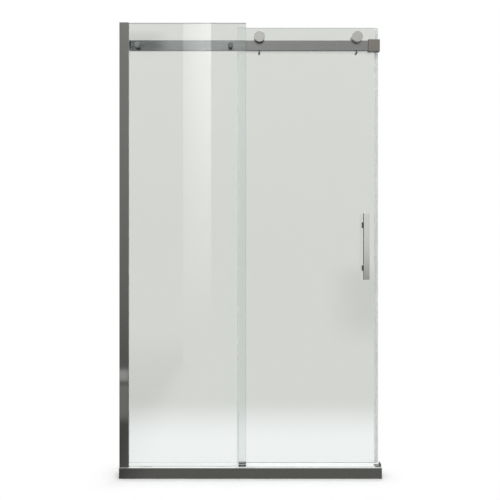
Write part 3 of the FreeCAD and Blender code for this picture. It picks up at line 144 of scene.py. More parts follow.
class Socket:
    """A shader socket that turns arithmetic into Math nodes."""

    def __init__(self, tree, output):
        self.tree = tree
        self.output = output

    def math(self, operation, *values):
        """A Math node on this socket and the given values."""
        node = self.tree.nodes.new("ShaderNodeMath")
        node.operation = operation
        for index, value in enumerate((self, *values)):
            plug(self.tree, value, node.inputs[index])
        return Socket(self.tree, node.outputs[0])

    def __add__(self, other):
        return self.math("ADD", other)

    __radd__ = __add__

    def __sub__(self, other):
        return self.math("SUBTRACT", other)

    def __rsub__(self, other):
        return self.math("MULTIPLY", -1.0) + other

    def __mul__(self, other):
        return self.math("MULTIPLY", other)

    __rmul__ = __mul__

    def __abs__(self):
        return self.math("ABSOLUTE")

    def above(self, value):
        """1 where this socket is over the value, else 0."""
        return self.math("GREATER_THAN", value)

    def ramp(self, low, high):
        """0 below low, 1 above high and a smooth rise between them."""
        node = self.tree.nodes.new("ShaderNodeMapRange")
        node.interpolation_type = "SMOOTHSTEP"
        plug(self.tree, self, node.inputs["Value"])
        node.inputs["From Min"].default_value = low
        node.inputs["From Max"].default_value = high
        return Socket(self.tree, node.outputs[0])


def plug(tree, value, target):
    """Links a socket, or sets a plain value, on an input."""
    if isinstance(value, Socket):
        tree.links.new(value.output, target)
    elif hasattr(value, "__len__") and len(value) == 3 and target.type == "RGBA":
        target.default_value = (*value, 1.0)
    else:
        target.default_value = value


class Finish:
    """A node tree under construction, for a material or the world."""

    def __init__(self, tree):
        self.tree = tree
        tree.nodes.clear()

    def node(self, kind, settings=None, inputs=None, output=0):
        """A new node: its settings first, then its sockets. Returns one of its outputs."""
        node = self.tree.nodes.new(kind)
        for name, value in (settings or {}).items():
            setattr(node, name, value)
        for name, value in (inputs or {}).items():
            plug(self.tree, value, node.inputs[name])
        return Socket(self.tree, node.outputs[output])

    def parts(self, coordinate):
        """X, Y and Z of one kind of texture coordinate."""
        vector = self.node("ShaderNodeTexCoord", output=coordinate)
        separate = self.node("ShaderNodeSeparateXYZ", inputs={0: vector})
        return [Socket(self.tree, part) for part in separate.output.node.outputs]

    def axes(self):
        """X, Y and Z of the surface point, in the piece's own coordinates."""
        return self.parts("Object")

    def facing(self):
        """X, Y and Z of the surface normal, in the piece's own coordinates."""
        return self.parts("Normal")

    def noise(self, scale, detail=2.0, stretch=(1.0, 1.0, 1.0), roughness=0.5):
        """Noise from 0 to 1, with its coordinates stretched along each axis."""
        at = self.node("ShaderNodeTexCoord", output="Object")
        at = self.node("ShaderNodeMapping", inputs={"Vector": at, "Scale": stretch})
        sockets = {"Vector": at, "Scale": scale, "Detail": detail, "Roughness": roughness}
        return self.node("ShaderNodeTexNoise", inputs=sockets)

    def mix(self, factor, first, second):
        """A colour between two colours."""
        settings = {"data_type": "RGBA"}
        return self.node("ShaderNodeMix", settings, {0: factor, 6: first, 7: second}, output=2)

    def shade(self, colour, amount):
        """A colour multiplied by a brightness, as a gray of that amount."""
        gray = self.node("ShaderNodeCombineColor", inputs={0: amount, 1: amount, 2: amount})
        settings = {"data_type": "RGBA", "blend_type": "MULTIPLY"}
        return self.node("ShaderNodeMix", settings, {0: 1.0, 6: colour, 7: gray}, output=2)

    def bump(self, height, strength, distance):
        """A bump normal from a height."""
        sockets = {"Height": height, "Strength": strength, "Distance": distance}
        return self.node("ShaderNodeBump", inputs=sockets)

    def blend(self, factor, first, second):
        """One shader turning into another."""
        return self.node("ShaderNodeMixShader", inputs={0: factor, 1: first, 2: second})

    def surface(self, shader):
        """Sends a shader to the output of a material or of the world."""
        kind = "ShaderNodeOutputMaterial"
        if isinstance(self.tree.id_data, bpy.types.World):
            kind = "ShaderNodeOutputWorld"
        output = self.tree.nodes.new(kind)
        plug(self.tree, shader, output.inputs["Surface"])


def new_material(name):
    """An empty material with its node tree."""
    material = bpy.data.materials.new(name)
    material.use_nodes = True
    return material, Finish(material.node_tree)


def dress(material, *names):
    """Gives CAD nodes or new pieces a material in place of all their others."""
    for name in names:
        mesh = bpy.data.objects[name].data
        mesh.materials.clear()
        mesh.materials.append(material)


def round_centres(node):
    """Centres, in X and Z, of the left and right round pieces that a node holds."""
    low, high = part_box(node)
    radius = (high.z - low.z) / 2
    middle = (low.z + high.z) / 2
    return (low.x + radius, middle), (high.x - radius, middle)


def brushed_metal(name, colour, roughness, along, grain=1.0, sides=1.0, rim=1.0, under=1.0, metal=1.0):
    """Satin metal with fine drawn lines along an axis, soft cloudy tone and faint handling marks.

    Its faces to the left and right may be duller, as unbrushed metal is, and darkened with painted shade; its
    faces below may be darker with painted shade, and its rounded edges brighter with a painted highlight.
    """
    material, finish = new_material(name)
    lines = finish.noise(DRAWN_LINES, 2.0, ALONG[along])
    streaks = finish.noise(DRAWN_STREAKS, 3.0, ALONG[along])
    clouds = finish.noise(5.0, 2.0)
    marks = finish.noise(45.0, 4.0, roughness=0.7).ramp(0.55, 0.8)
    tone = 0.94 + 0.06 * clouds + (lines - 0.5) * (0.10 * grain) + (streaks - 0.5) * (0.10 * grain)
    gloss = roughness + (streaks - 0.5) * 0.08 + marks * 0.05
    ior = METAL_IOR
    if sides < 1.0:
        normal_x, normal_y, _ = finish.facing()
        flank = abs(normal_x).ramp(0.60, 0.85)
        # Painted highlight on the rounded edges between the front and the sides
        edge_highlight = abs(normal_x).ramp(0.10, 0.3) * (1.0 - flank) * abs(normal_y).ramp(0.1, 0.3)
        # Painted shade on the sides, which are also made less metallic and rougher
        dull_and_shaded = flank * (1.0 - sides)
        tone = tone * (1.0 - dull_and_shaded) * (1.0 + edge_highlight * (rim - 1.0))
        metal = (1.0 - dull_and_shaded) * metal
        gloss = gloss + dull_and_shaded * DULL_ROUGHNESS
        ior = DULL_METAL_IOR
    if under < 1.0:
        _, _, normal_z = finish.facing()
        # Painted shade on the faces below
        below = (normal_z * -1.0).ramp(0.3, 0.8)
        tone = tone * (1.0 - below * (1.0 - under))
    sockets = {
        "Base Color": finish.shade(colour, tone),
        "Metallic": metal,
        "IOR": ior,
        "Roughness": gloss,
        "Normal": finish.bump(lines * 0.6 + streaks, 0.10 * grain, SCRATCH_DEPTH),
    }
    finish.surface(finish.node("ShaderNodeBsdfPrincipled", inputs=sockets))
    return material


def turned_metal(name, colour, roughness, centres, lit_and_shaded_tones=(1.0, 1.0), dull_rims=(0.0, 0.0)):
    """Satin metal turned on a lathe: fine rings about an axis along Y at each of two centres.

    The pieces on the two centres may differ in tone, as a painted lighter and darker copy, and in how far
    their rims below are made less metallic, which makes one show lighter as painted light.
    """
    material, finish = new_material(name)
    x, _, z = finish.axes()
    (left_x, left_z), (right_x, right_z) = centres
    right = x.above((left_x + right_x) / 2)
    # Painted light: one copy is made lighter and the other darker
    painted_copy_light = right * (lit_and_shaded_tones[1] - lit_and_shaded_tones[0]) + lit_and_shaded_tones[0]
    out = x - (right * (right_x - left_x) + left_x)
    up = z - (right * (right_z - left_z) + left_z)
    metal = 1.0
    # One copy's rims below are made less metallic, so that they show lighter as painted light
    if any(dull_rims):
        _, _, normal_z = finish.facing()
        below = (normal_z * -1.0).ramp(0.1, 0.6)
        metal = 1.0 - below * (right * (dull_rims[1] - dull_rims[0]) + dull_rims[0])
    radius = (out * out + up * up).math("SQRT")
    rings = (radius * LATHE_RINGS).math("SINE")
    wander = finish.noise(220.0, 3.0)
    clouds = finish.noise(18.0, 2.0)
    tone = 0.93 + 0.07 * clouds + rings * 0.025 + (wander - 0.5) * 0.05
    sockets = {
        "Base Color": finish.shade(colour, tone * painted_copy_light),
        "Metallic": metal,
        "Roughness": roughness + (wander - 0.5) * 0.08,
        "Normal": finish.bump(rings * 0.5 + wander, 0.08, SCRATCH_DEPTH),
    }
    finish.surface(finish.node("ShaderNodeBsdfPrincipled", inputs=sockets))
    return material


def moulded(name, colour, roughness, texture, top_grey=0.0, ior=PLASTIC_IOR, ends=0.0):
    """Opaque moulded plastic or rubber with a fine grain and uneven gloss, greyer on its upward faces.

    Ends that face the front may be brighter, with a painted highlight.
    """
    material, finish = new_material(name)
    grain_scale, grain_depth = texture
    grain = finish.noise(grain_scale, 3.0, roughness=0.6)
    clouds = finish.noise(30.0, 3.0)
    base = finish.shade(colour, 0.88 + 0.16 * clouds + (grain - 0.5) * 0.08)
    # Upward faces are turned greyer
    if top_grey:
        _, _, normal_z = finish.facing()
        base = finish.mix(normal_z.ramp(0.3, 0.9) * top_grey, base, TOP_GREY_COLOUR)
    # Painted highlight on the ends that face the front
    if ends:
        _, normal_y, _ = finish.facing()
        base = finish.mix((normal_y * -1.0).ramp(0.8, 0.95) * ends, base, END_HIGHLIGHT_COLOUR)
    sockets = {
        "Base Color": base,
        "Roughness": roughness + (clouds - 0.5) * 0.1,
        "Normal": finish.bump(grain, 0.25, grain_depth),
        "IOR": ior,
    }
    finish.surface(finish.node("ShaderNodeBsdfPrincipled", inputs=sockets))
    return material


def lamps_pass(finish, shader, tint):
    """The shader for every ray but those from lamps, which pass with a tint."""
    shadow = finish.node("ShaderNodeLightPath", output="Is Shadow Ray")
    clear = finish.node("ShaderNodeBsdfTransparent", inputs={"Color": tint})
    return finish.blend(shadow, shader, clear)


def clear_glass(node, tint, edge_tint, line_tint, top_line):
    """Clear toughened glass: one tint through its faces, green edges and a fine ground border."""
    material, finish = new_material("clear_" + node)
    low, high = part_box(node)
    x, _, z = finish.axes()
    _, normal_y, _ = finish.facing()
    edge = 1.0 - abs(normal_y).ramp(0.80, 0.97)
    side = (x - low.x).math("MINIMUM", high.x - x)
    rise = (z - low.z).math("MINIMUM", high.z - z)
    ground = 1.0 - side.math("MINIMUM", rise).ramp(0.2 * GROUND_BORDER, GROUND_BORDER)
    crest = 1.0 - (high.z - z).ramp(0.6 * top_line, top_line)
    clouds = finish.noise(2.2, 1.0)
    face = finish.shade(tint, 0.985 + 0.015 * clouds)
    bordered = finish.mix(ground.math("MAXIMUM", crest), face, line_tint)
    sockets = {
        "Base Color": finish.mix(edge, bordered, edge_tint),
        "Roughness": edge * GLASS_EDGE_ROUGHNESS,
        "Transmission Weight": 1.0,
        "IOR": GLASS_IOR,
    }
    glass = finish.node("ShaderNodeBsdfPrincipled", inputs=sockets)
    finish.surface(lamps_pass(finish, glass, tint))
    return material


def clear_vinyl(name, colour, cover, along="Z", rim=0.0):
    """Clear soft vinyl: half see-through and milky, with faint extrusion lines along its length.

    Its flanks to the left and right may be denser, as the rim of a clear tube is, and darkened with painted
    shade.
    """
    material, finish = new_material(name)
    lines = finish.noise(EXTRUSION_LINES, 2.0, ALONG[along])
    clouds = finish.noise(25.0, 3.0)
    tone = 0.95 + 0.05 * clouds + (lines - 0.5) * 0.06
    alpha = cover * (1.0 + (lines - 0.5) * 0.4)
    if rim:
        normal_x, _, _ = finish.facing()
        flank = abs(normal_x).ramp(0.55, 0.95)
        # Painted shade darkens the flanks
        tone = tone * (1.0 - 0.6 * flank)
        alpha = alpha + flank * rim
    sockets = {
        "Base Color": finish.shade(colour, tone),
        "Roughness": VINYL_ROUGHNESS + (clouds - 0.5) * 0.12,
        "Alpha": alpha,
        "Normal": finish.bump(lines, 0.15, SCRATCH_DEPTH),
        "IOR": VINYL_IOR,
    }
    finish.surface(finish.node("ShaderNodeBsdfPrincipled", inputs=sockets))
    return material


def colour_property(name, description, default):
    """A linear colour that a user may change."""
    return bpy.props.FloatVectorProperty(
        name=name, description=description, default=default, size=3, subtype="COLOR", min=0.0, max=1.0
    )


def length_property(name, description, default):
    """A length in metres that a user may change."""
    return bpy.props.FloatProperty(
        name=name, description=description, default=default, unit="LENGTH", subtype="DISTANCE"
    )


class DoorFinishSettings(bpy.types.PropertyGroup):
    """Colours of the door's finishes, and sizes of its glazing lips."""

    jamb_colour: colour_property("Jamb", "Satin gunmetal of the wall jamb", (0.125, 0.125, 0.120))
    sill_colour: colour_property("Sill", "Satin gunmetal of the sill", (0.094, 0.095, 0.088))
    plate_colour: colour_property("Sill top", "Bright top of the sill", (0.86, 0.86, 0.85))
    bar_colour: colour_property("Header bar", "Brushed grey of the bar", (0.163, 0.165, 0.161))
    bracket_colour: colour_property("Brackets", "Warm brushed grey of the brackets", (0.142, 0.133, 0.122))
    standoff_colour: colour_property("Standoffs", "Satin grey of the standoffs", (0.125, 0.134, 0.126))
    fitting_colour: colour_property("Roller fittings", "Light satin of the caps", (0.305, 0.305, 0.290))
    handle_colour: colour_property("Handle", "Light satin of the handle", (0.58, 0.58, 0.555))
    # On the posts and pins this black is painted shade, standing in for the dark they show
    post_shade_colour: colour_property(
        "Handle posts", "Matt black of the posts, pins and spacers", (0.014, 0.014, 0.014)
    )
    steel_colour: colour_property("Screws", "Bright steel of screws and wheels", (0.55, 0.55, 0.55))
    mill_colour: colour_property("Wall channel", "Plain mill aluminium", (0.60, 0.60, 0.60))
    glass_tint: colour_property("Glass", "Colour that the panes let through", (0.857, 0.886, 0.884))
    edge_tint: colour_property("Glass edge", "Green of the panes' edges", (0.50, 0.62, 0.55))
    line_tint: colour_property("Fixed glass border", "Ground border of the fixed pane", (0.51, 0.53, 0.53))
    border_tint: colour_property(
        "Sliding glass border", "Ground border of the sliding pane", (0.805, 0.855, 0.83)
    )
    vinyl_tint: colour_property("Vinyl", "Milky clear vinyl of the seals", (0.86, 0.89, 0.87))
    nylon_colour: colour_property("Nylon", "Natural nylon of treads and liners", (0.78, 0.78, 0.74))
    lip_width: length_property("Lip width", "Width of the glazing lips on the glass", 0.0035)
    lip_height: length_property("Lip height", "How far the glazing lips stand off the glass", 0.0025)
    plastic_colour: colour_property("Plastic", "Black moulded plastic", (0.016, 0.016, 0.016))
    guide_colour: colour_property("Guide", "Dark moulded plastic of the floor guide", (0.022, 0.022, 0.021))
    rubber_colour: colour_property("Rubber", "Dark soft rubber", (0.030, 0.030, 0.029))


class DoorStageSettings(bpy.types.PropertyGroup):
    """Camera, lamps and floor."""

    camera_x: length_property("Camera X", "Place of the camera along the sill", -0.0785)
    camera_y: length_property("Camera Y", "Place of the camera in front of the door", CAMERA_Y)
    camera_z: length_property("Camera Z", "Height of the camera", 0.9504)
    shift_x: bpy.props.FloatProperty(name="Shift X", description="Sideways framing shift", default=0.035)
    shift_y: bpy.props.FloatProperty(name="Shift Y", description="Upward framing shift", default=0.023)
    lens: bpy.props.FloatProperty(name="Lens", description="Focal length in millimetres", default=50.0)
    floor_colour: colour_property("Floor", "Pale floor", (0.93, 0.93, 0.93))
    key_power: bpy.props.FloatProperty(
        name="Key lamp", description="Power of the large soft lamp over the front", default=60.0, unit="POWER"
    )
    back_power: bpy.props.FloatProperty(
        name="Back lamp", description="Power of the soft lamp over the back", default=30.0, unit="POWER"
    )


class DoorOperator:
    """Options that all of the door's operators share."""

    bl_options = {"REGISTER", "UNDO"}


class SHOWERDOOR_OT_finish_frame(DoorOperator, bpy.types.Operator):
    """Finishes the sill, jamb and wall channel, their covers and rubbers, and the floor guide"""

    bl_idname = "shower_door.finish_frame"
    bl_label = "Finish Sill and Jamb"

    def execute(self, context):
        looks = context.scene.door_finish
        dress(brushed_metal("satin_jamb", looks.jamb_colour, 0.36, "Z", 0.8), "jamb_profile", "jamb_top_cap")
        dress(brushed_metal("satin_sill", looks.sill_colour, 0.36, "X", 0.8), "sill_rail")
        dress(brushed_metal("bright_sill_top", looks.plate_colour, 0.45, "X", 0.5, metal=0.35),
              "sill_top_plate")
        dress(brushed_metal("mill_channel", looks.mill_colour, 0.42, "Z"), "wall_channel")
        dress(moulded("black_plastic", looks.plastic_colour, 0.25, FINE_GRAIN, top_grey=0.35),
              "sill_end_caps", "jamb_screw_caps")
        dress(moulded("grey_guide", looks.guide_colour, 0.50, FINE_GRAIN, top_grey=1.0, ior=MATT_IOR),
              "guide_base")
        dress(moulded("dark_rubber", looks.rubber_colour, 0.38, RUBBER_GRAIN, top_grey=0.45),
              "corner_dam", "jamb_gaskets", "door_bumper")
        return {"FINISHED"}


class SHOWERDOOR_OT_finish_bar(DoorOperator, bpy.types.Operator):
    """Finishes the header bar, its brackets, the standoffs, and the steel of screws and wheels"""

    bl_idname = "shower_door.finish_bar"
    bl_label = "Finish Bar and Brackets"

    def execute(self, context):
        looks = context.scene.door_finish
        # The bar's and brackets' faces below carry painted shade, and the brackets' sides too
        dress(brushed_metal("brushed_bar", looks.bar_colour, 0.25, "X", under=0.25), "header_bar")
        dress(brushed_metal("brushed_bracket", looks.bracket_colour, 0.33, "Z", sides=0.5, under=0.12),
              "bracket_left", "bracket_right")
        # The left standoff is painted lighter and the right one darker
        centres = round_centres("standoff_caps")
        dress(turned_metal("turned_standoff", looks.standoff_colour, 0.46, centres, (1.12, 0.76)),
              "standoff_caps")
        dress(moulded("black_spacers", looks.post_shade_colour, 0.60, MATT_GRAIN, ior=MATT_IOR), "standoff_spacers")
        dress(brushed_metal("bright_steel", looks.steel_colour, 0.26, "X", 0.6),
              "standoff_studs", "standoff_inserts", "wall_plate_left", "wall_plate_right",
              "bracket_left_set_screws", "bracket_right_set_screws", "jamb_clamp_screws",
              "guide_screws", "roller_axles", "roller_spacers", "handle_bolts",
              "left_wheel_hub", "left_wheel_flanges", "left_wheel_bearings",
              "right_wheel_hub", "right_wheel_flanges", "right_wheel_bearings")
        return {"FINISHED"}


class SHOWERDOOR_OT_finish_glass(DoorOperator, bpy.types.Operator):
    """Finishes both panes, the vinyl pieces and the nylon pieces"""

    bl_idname = "shower_door.finish_glass"
    bl_label = "Finish Glass, Vinyl and Nylon"

    def execute(self, context):
        looks = context.scene.door_finish
        panes = (
            ("fixed_glass", looks.line_tint, FIXED_TOP_LINE),
            ("sliding_glass", looks.border_tint, GROUND_BORDER),
        )
        for node, line_tint, top_line in panes:
            dress(clear_glass(node, looks.glass_tint, looks.edge_tint, line_tint, top_line), node)
        dress(clear_vinyl("clear_strip", looks.vinyl_tint, 0.28, along="X"), "threshold_strip")
        dress(clear_vinyl("clear_blocks", looks.vinyl_tint, 0.06, along="X"), "glass_setting_blocks")
        dress(clear_vinyl("clear_washers", looks.vinyl_tint, 0.28, along="Y"),
              "standoff_washers", "roller_washers", "anti_jump_washers", "handle_gaskets")
        # The bumper's flanks are darkened with painted shade
        dress(clear_vinyl("clear_bumper", looks.vinyl_tint, 0.24, rim=0.55), "bumper_seal")
        dress(clear_vinyl("clear_side_seal", looks.vinyl_tint, 0.12), "side_seal")
        dress(moulded("white_nylon", looks.nylon_colour, 0.40, NYLON_GRAIN),
              "standoff_sleeves", "guide_liners", "roller_glass_bushings", "handle_sleeves",
              "left_wheel_tread", "right_wheel_tread")
        return {"FINISHED"}


class SHOWERDOOR_OT_finish_fittings(DoorOperator, bpy.types.Operator):
    """Finishes the roller caps, discs, anti-jump pins and the handle"""

    bl_idname = "shower_door.finish_fittings"
    bl_label = "Finish Fittings and Handle"

    def execute(self, context):
        looks = context.scene.door_finish
        # The right roller cap's rims below are made less metallic, so that they show lighter as painted light
        centres = round_centres("roller_caps")
        dress(turned_metal("turned_fitting", looks.fitting_colour, 0.27, centres, dull_rims=(0.0, 0.9)),
              "roller_caps", "roller_rear_discs")
        # The handle's sides carry painted shade, and its rounded edges a painted highlight
        dress(brushed_metal("brushed_handle", looks.handle_colour, 0.20, "Z", sides=0.04, rim=1.45),
              "handle_grip")
        dress(brushed_metal("brushed_back_plates", looks.handle_colour, 0.28, "Z"), "handle_back_plates")
        # The posts and pins are black as painted shade, and their front ends carry a painted highlight
        dress(moulded("shaded_black_posts", looks.post_shade_colour, 0.55, MATT_GRAIN, ior=POST_IOR, ends=0.2),
              "handle_posts", "anti_jump_pins", "anti_jump_nuts")
        return {"FINISHED"}


def start_piece(name, low, high):
    """A new block between two corners, in edit mode, selected all over."""
    bpy.ops.object.select_all(action="DESELECT")
    bpy.ops.mesh.primitive_cube_add(size=1.0, location=(low + high) / 2, scale=high - low)
    piece = bpy.context.active_object
    piece.name = name
    bpy.ops.object.transform_apply(location=True, rotation=True, scale=True)
    bpy.ops.object.mode_set(mode="EDIT")
    return piece


def pick_edges(piece, wanted):
    """Selects the edges whose two ends pass a test."""
    bpy.ops.mesh.select_mode(type="EDGE")
    bpy.ops.mesh.select_all(action="DESELECT")
    shape = bmesh.from_edit_mesh(piece.data)
    for edge in shape.edges:
        edge.select_set(all(wanted(vertex.co) for vertex in edge.verts))
    bmesh.update_edit_mesh(piece.data)


def finish_piece(piece, material, body):
    """Ends edit mode with smooth rounded faces, and gives the piece its finish and its body."""
    bpy.ops.object.mode_set(mode="OBJECT")
    bpy.ops.object.shade_smooth_by_angle(angle=SMOOTH_ANGLE)
    piece.data.materials.clear()
    piece.data.materials.append(material)
    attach(piece, body)


class SHOWERDOOR_OT_glazing_lips(DoorOperator, bpy.types.Operator):
    """Adds the clear soft lips that close the jamb's pocket on both faces of the fixed glass"""

    bl_idname = "shower_door.glazing_lips"
    bl_label = "Glazing Lips"

    def execute(self, context):
        looks = context.scene.door_finish
        vinyl = clear_vinyl("clear_lip", looks.vinyl_tint, 0.08)
        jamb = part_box("jamb_profile")
        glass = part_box("fixed_glass")
        lips = (("glazing_lip_front", -1, glass[0].y), ("glazing_lip_rear", 1, glass[1].y))
        for name, outward, face_y in lips:
            rim_y = face_y + outward * looks.lip_height
            low = Vector((jamb[1].x, min(face_y, rim_y), jamb[0].z))
            high = Vector((jamb[1].x + looks.lip_width, max(face_y, rim_y), jamb[1].z - looks.lip_width))
            lip = start_piece(name, low, high)
            near = 0.1 * looks.lip_height
            pick_edges(lip, lambda at: abs(at.x - high.x) < near and abs(at.y - rim_y) < near)
            bpy.ops.mesh.bevel(offset=LIP_ROUNDING * looks.lip_height, segments=LIP_STEPS, profile=0.5)
            bpy.ops.mesh.select_all(action="SELECT")
            bpy.ops.mesh.normals_make_consistent(inside=False)
            finish_piece(lip, vinyl, "frame")
        return {"FINISHED"}


def area_lamp(name, place, target, size, power):
    """A soft rectangular lamp aimed at a point, hidden from the camera and from views through glass."""
    lamp = bpy.data.lights.new(name, "AREA")
    lamp.shape = "RECTANGLE"
    lamp.size, lamp.size_y = size
    lamp.energy = power
    holder = bpy.data.objects.new(name, lamp)
    holder.location = place
    holder.rotation_euler = (Vector(target) - Vector(place)).to_track_quat("-Z", "Y").to_euler()
    holder.visible_camera = False
    holder.visible_transmission = False
    bpy.context.scene.collection.objects.link(holder)


def ray_kinds(finish):
    """Masks of rays: those that see the plain white behind, those off metal or glass, and straight ones.

    A straight ray has come through glass and has been mirrored by nothing.
    """
    camera = finish.node("ShaderNodeLightPath", output="Is Camera Ray")
    through = finish.node("ShaderNodeLightPath", output="Is Transmission Ray")
    soft = finish.node("ShaderNodeLightPath", output="Is Diffuse Ray")
    mirrored = finish.node("ShaderNodeLightPath", output="Glossy Depth").above(0.5)
    straight = through * (1.0 - mirrored)
    return camera.math("MAXIMUM", straight), mirrored * (1.0 - soft), straight


def glow(finish, kind, strength, colour=WHITE):
    """A background or emission of one strength, white unless a colour is given."""
    return finish.node(kind, inputs={"Color": colour, "Strength": strength})


def studio_world():
    """White to the camera, paler through glass, plain on surfaces, brighter overhead in metal and glass."""
    world = bpy.data.worlds.new("studio")
    world.use_nodes = True
    finish = Finish(world.node_tree)
    _, _, up = finish.parts("Generated")
    seen, mirror, straight = ray_kinds(finish)
    kind = "ShaderNodeBackground"
    white = finish.blend(straight, glow(finish, kind, 1.0), glow(finish, kind, 1.0, PALE_BEHIND_GLASS))
    plain = finish.blend(seen, glow(finish, kind, SURFACE_LIGHT), white)
    studio = finish.blend(up.ramp(0.0, HIGH_SINE), glow(finish, kind, 1.0), glow(finish, kind, HIGH_LIGHT))
    finish.surface(finish.blend(mirror, plain, studio))
    bpy.context.scene.world = world


def floor_material(colour):
    """Pale floor that keeps the object's shadow.

    Further out it is white to the camera and paler through glass, and metal mirrors it darker on one side.
    """
    material, finish = new_material("pale_floor")
    x, y, _ = finish.axes()
    beside = (abs(x) - CAD_BOUNDS[1][0]).math("MAXIMUM", 0.0)
    before = (abs(y) - CAD_BOUNDS[1][1]).math("MAXIMUM", 0.0)
    away = (beside * beside + before * before).math("SQRT")
    seen, mirror, straight = ray_kinds(finish)
    kind = "ShaderNodeEmission"
    white = glow(finish, kind, 1.0)
    near_white = glow(finish, kind, 1.0, WHITE_BEHIND_GLASS)
    far_white = glow(finish, kind, 1.0, PALE_BEHIND_GLASS)
    sweep = finish.blend(away.ramp(*PALE_DISTANCES), near_white, far_white)
    behind = finish.blend(straight, white, sweep)
    lit = finish.node("ShaderNodeBsdfDiffuse", inputs={"Color": colour})
    shaded = tuple(part * share for part, share in zip(colour, WHITE_BEHIND_GLASS))
    lit_behind = finish.node("ShaderNodeBsdfDiffuse", inputs={"Color": shaded})
    near = finish.blend(straight, lit, lit_behind)
    plain = finish.blend(seen * away.ramp(*FLOOR_FADE), near, behind)
    pale = x.ramp(*FLOOR_DARK_SIDE).math("MAXIMUM", away.ramp(*FLOOR_MIRROR_FADE))
    mirrored = finish.blend(pale, glow(finish, kind, FLOOR_MIRROR_LIGHT), white)
    finish.surface(finish.blend(mirror, plain, mirrored))
    return material


def card_surface(finish, shader, share=1.0):
    """Shows a stage card to metal and glass, but to nothing that looks straight through a pane."""
    _, _, straight = ray_kinds(finish)
    clear = finish.node("ShaderNodeBsdfTransparent", inputs={"Color": WHITE})
    finish.surface(finish.blend((1.0 - straight) * share, clear, shader))


def strip_material(low, high, strength):
    """A tall light strip that one pane mirrors: faint at its foot, brighter to the top and to one side."""
    material, finish = new_material("light_strip")
    x, _, z = finish.axes()
    foot = 0.25 + 0.075 * z.ramp(0.25, 0.95)
    rise = z.ramp(0.4, high.z)
    across = x.ramp(low.x - STRIP_SOFTNESS, high.x)
    level = foot + rise * (0.20 + 0.475 * across)
    gray = finish.node("ShaderNodeCombineColor", inputs={0: level, 1: level, 2: level})
    shader = finish.node("ShaderNodeEmission", inputs={"Color": gray, "Strength": strength})
    card_surface(finish, shader)
    return material


def soft_card_material(name, low, high, edges, strength):
    """A card of one brightness with soft edges, which metal and glass mirror."""
    material, finish = new_material(name)
    x, _, z = finish.axes()
    left, right, bottom, top = edges
    across = x.ramp(low.x, low.x + left) * (1.0 - x.ramp(high.x - right, high.x))
    rise = z.ramp(low.z, low.z + bottom) * (1.0 - z.ramp(high.z - top, high.z))
    card_surface(finish, glow(finish, "ShaderNodeEmission", strength), across * rise)
    return material


def stage_card(name, low, high, material):
    """An upright card of the stage, facing the door, that neither the camera nor plain surfaces see."""
    bpy.ops.object.select_all(action="DESELECT")
    bpy.ops.mesh.primitive_plane_add(size=1.0, location=(low + high) / 2, rotation=(math.pi / 2, 0.0, 0.0))
    card = bpy.context.active_object
    card.name = name
    card.scale = (high.x - low.x, high.z - low.z, 1.0)
    bpy.ops.object.transform_apply(location=True, rotation=True, scale=True)
    card.data.materials.append(material)
    card.visible_camera = False
    card.visible_diffuse = False
    card.visible_shadow = False


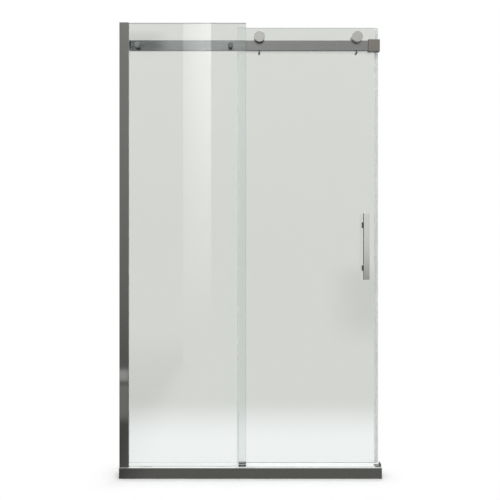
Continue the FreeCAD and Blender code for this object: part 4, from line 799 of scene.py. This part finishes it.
class SHOWERDOOR_OT_stage(DoorOperator, bpy.types.Operator):
    """Sets up the floor, world, lamps, cards that metal and glass mirror, and camera"""

    bl_idname = "shower_door.stage"
    bl_label = "Stage and Camera"

    def execute(self, context):
        stage = context.scene.door_stage
        context.scene.view_settings.view_transform = "Standard"
        studio_world()
        bpy.ops.object.select_all(action="DESELECT")
        bpy.ops.mesh.primitive_plane_add(size=FLOOR_SIZE, location=(0.0, 0.0, -FLOOR_DROP))
        floor = context.active_object
        floor.name = "floor"
        floor.data.materials.append(floor_material(stage.floor_colour))
        bpy.ops.object.transform_apply(location=True, rotation=True, scale=True)
        low, high = (Vector((x, stage.camera_y, z)) for x, z in STRIP_CORNERS)
        stage_card("light_strip", low, high, strip_material(low, high, STRIP_LIGHT))
        for name, *corners, edges, strength in SOFT_CARDS:
            low, high = (Vector(corner) for corner in corners)
            stage_card(name, low, high, soft_card_material(name, low, high, edges, strength))
        area_lamp(*KEY_LAMP, stage.key_power)
        area_lamp(*BACK_LAMP, stage.back_power)
        eye = bpy.data.cameras.new("camera")
        eye.lens = stage.lens
        eye.sensor_width = SENSOR_WIDTH
        eye.shift_x = stage.shift_x
        eye.shift_y = stage.shift_y
        holder = bpy.data.objects.new("camera", eye)
        holder.location = (stage.camera_x, stage.camera_y, stage.camera_z)
        holder.rotation_euler = (math.pi / 2, 0.0, 0.0)
        context.scene.collection.objects.link(holder)
        context.scene.camera = holder
        return {"FINISHED"}


class SHOWERDOOR_PT_panel(bpy.types.Panel):
    """Lists the door's operators and settings"""

    bl_idname = "SHOWERDOOR_PT_panel"
    bl_label = "Sliding Shower Door"
    bl_space_type = "VIEW_3D"
    bl_region_type = "UI"
    bl_category = "Shower Door"

    def draw(self, context):
        for operator in OPERATORS:
            self.layout.operator(operator.bl_idname)
        for settings in (context.scene.door_finish, context.scene.door_stage):
            column = self.layout.column()
            for name in settings.__annotations__:
                column.prop(settings, name)


OPERATORS = (
    SHOWERDOOR_OT_finish_frame,
    SHOWERDOOR_OT_finish_bar,
    SHOWERDOOR_OT_finish_glass,
    SHOWERDOOR_OT_finish_fittings,
    SHOWERDOOR_OT_glazing_lips,
    SHOWERDOOR_OT_stage,
)
CLASSES = (DoorFinishSettings, DoorStageSettings, *OPERATORS, SHOWERDOOR_PT_panel)


def register():
    """Registers the classes and hangs the settings on the scene."""
    for item in CLASSES:
        bpy.utils.register_class(item)
    bpy.types.Scene.door_finish = bpy.props.PointerProperty(type=DoorFinishSettings)
    bpy.types.Scene.door_stage = bpy.props.PointerProperty(type=DoorStageSettings)


def unregister():
    """Removes the settings and the classes."""
    del bpy.types.Scene.door_stage
    del bpy.types.Scene.door_finish
    for item in reversed(CLASSES):
        bpy.utils.unregister_class(item)


def main():
    """Builds the looks."""
    register()
    bpy.ops.shower_door.finish_frame()
    bpy.ops.shower_door.finish_bar()
    bpy.ops.shower_door.finish_glass()
    bpy.ops.shower_door.finish_fittings()
    bpy.ops.shower_door.glazing_lips()
    bpy.ops.shower_door.stage()


if __name__ == "__main__":
    main()
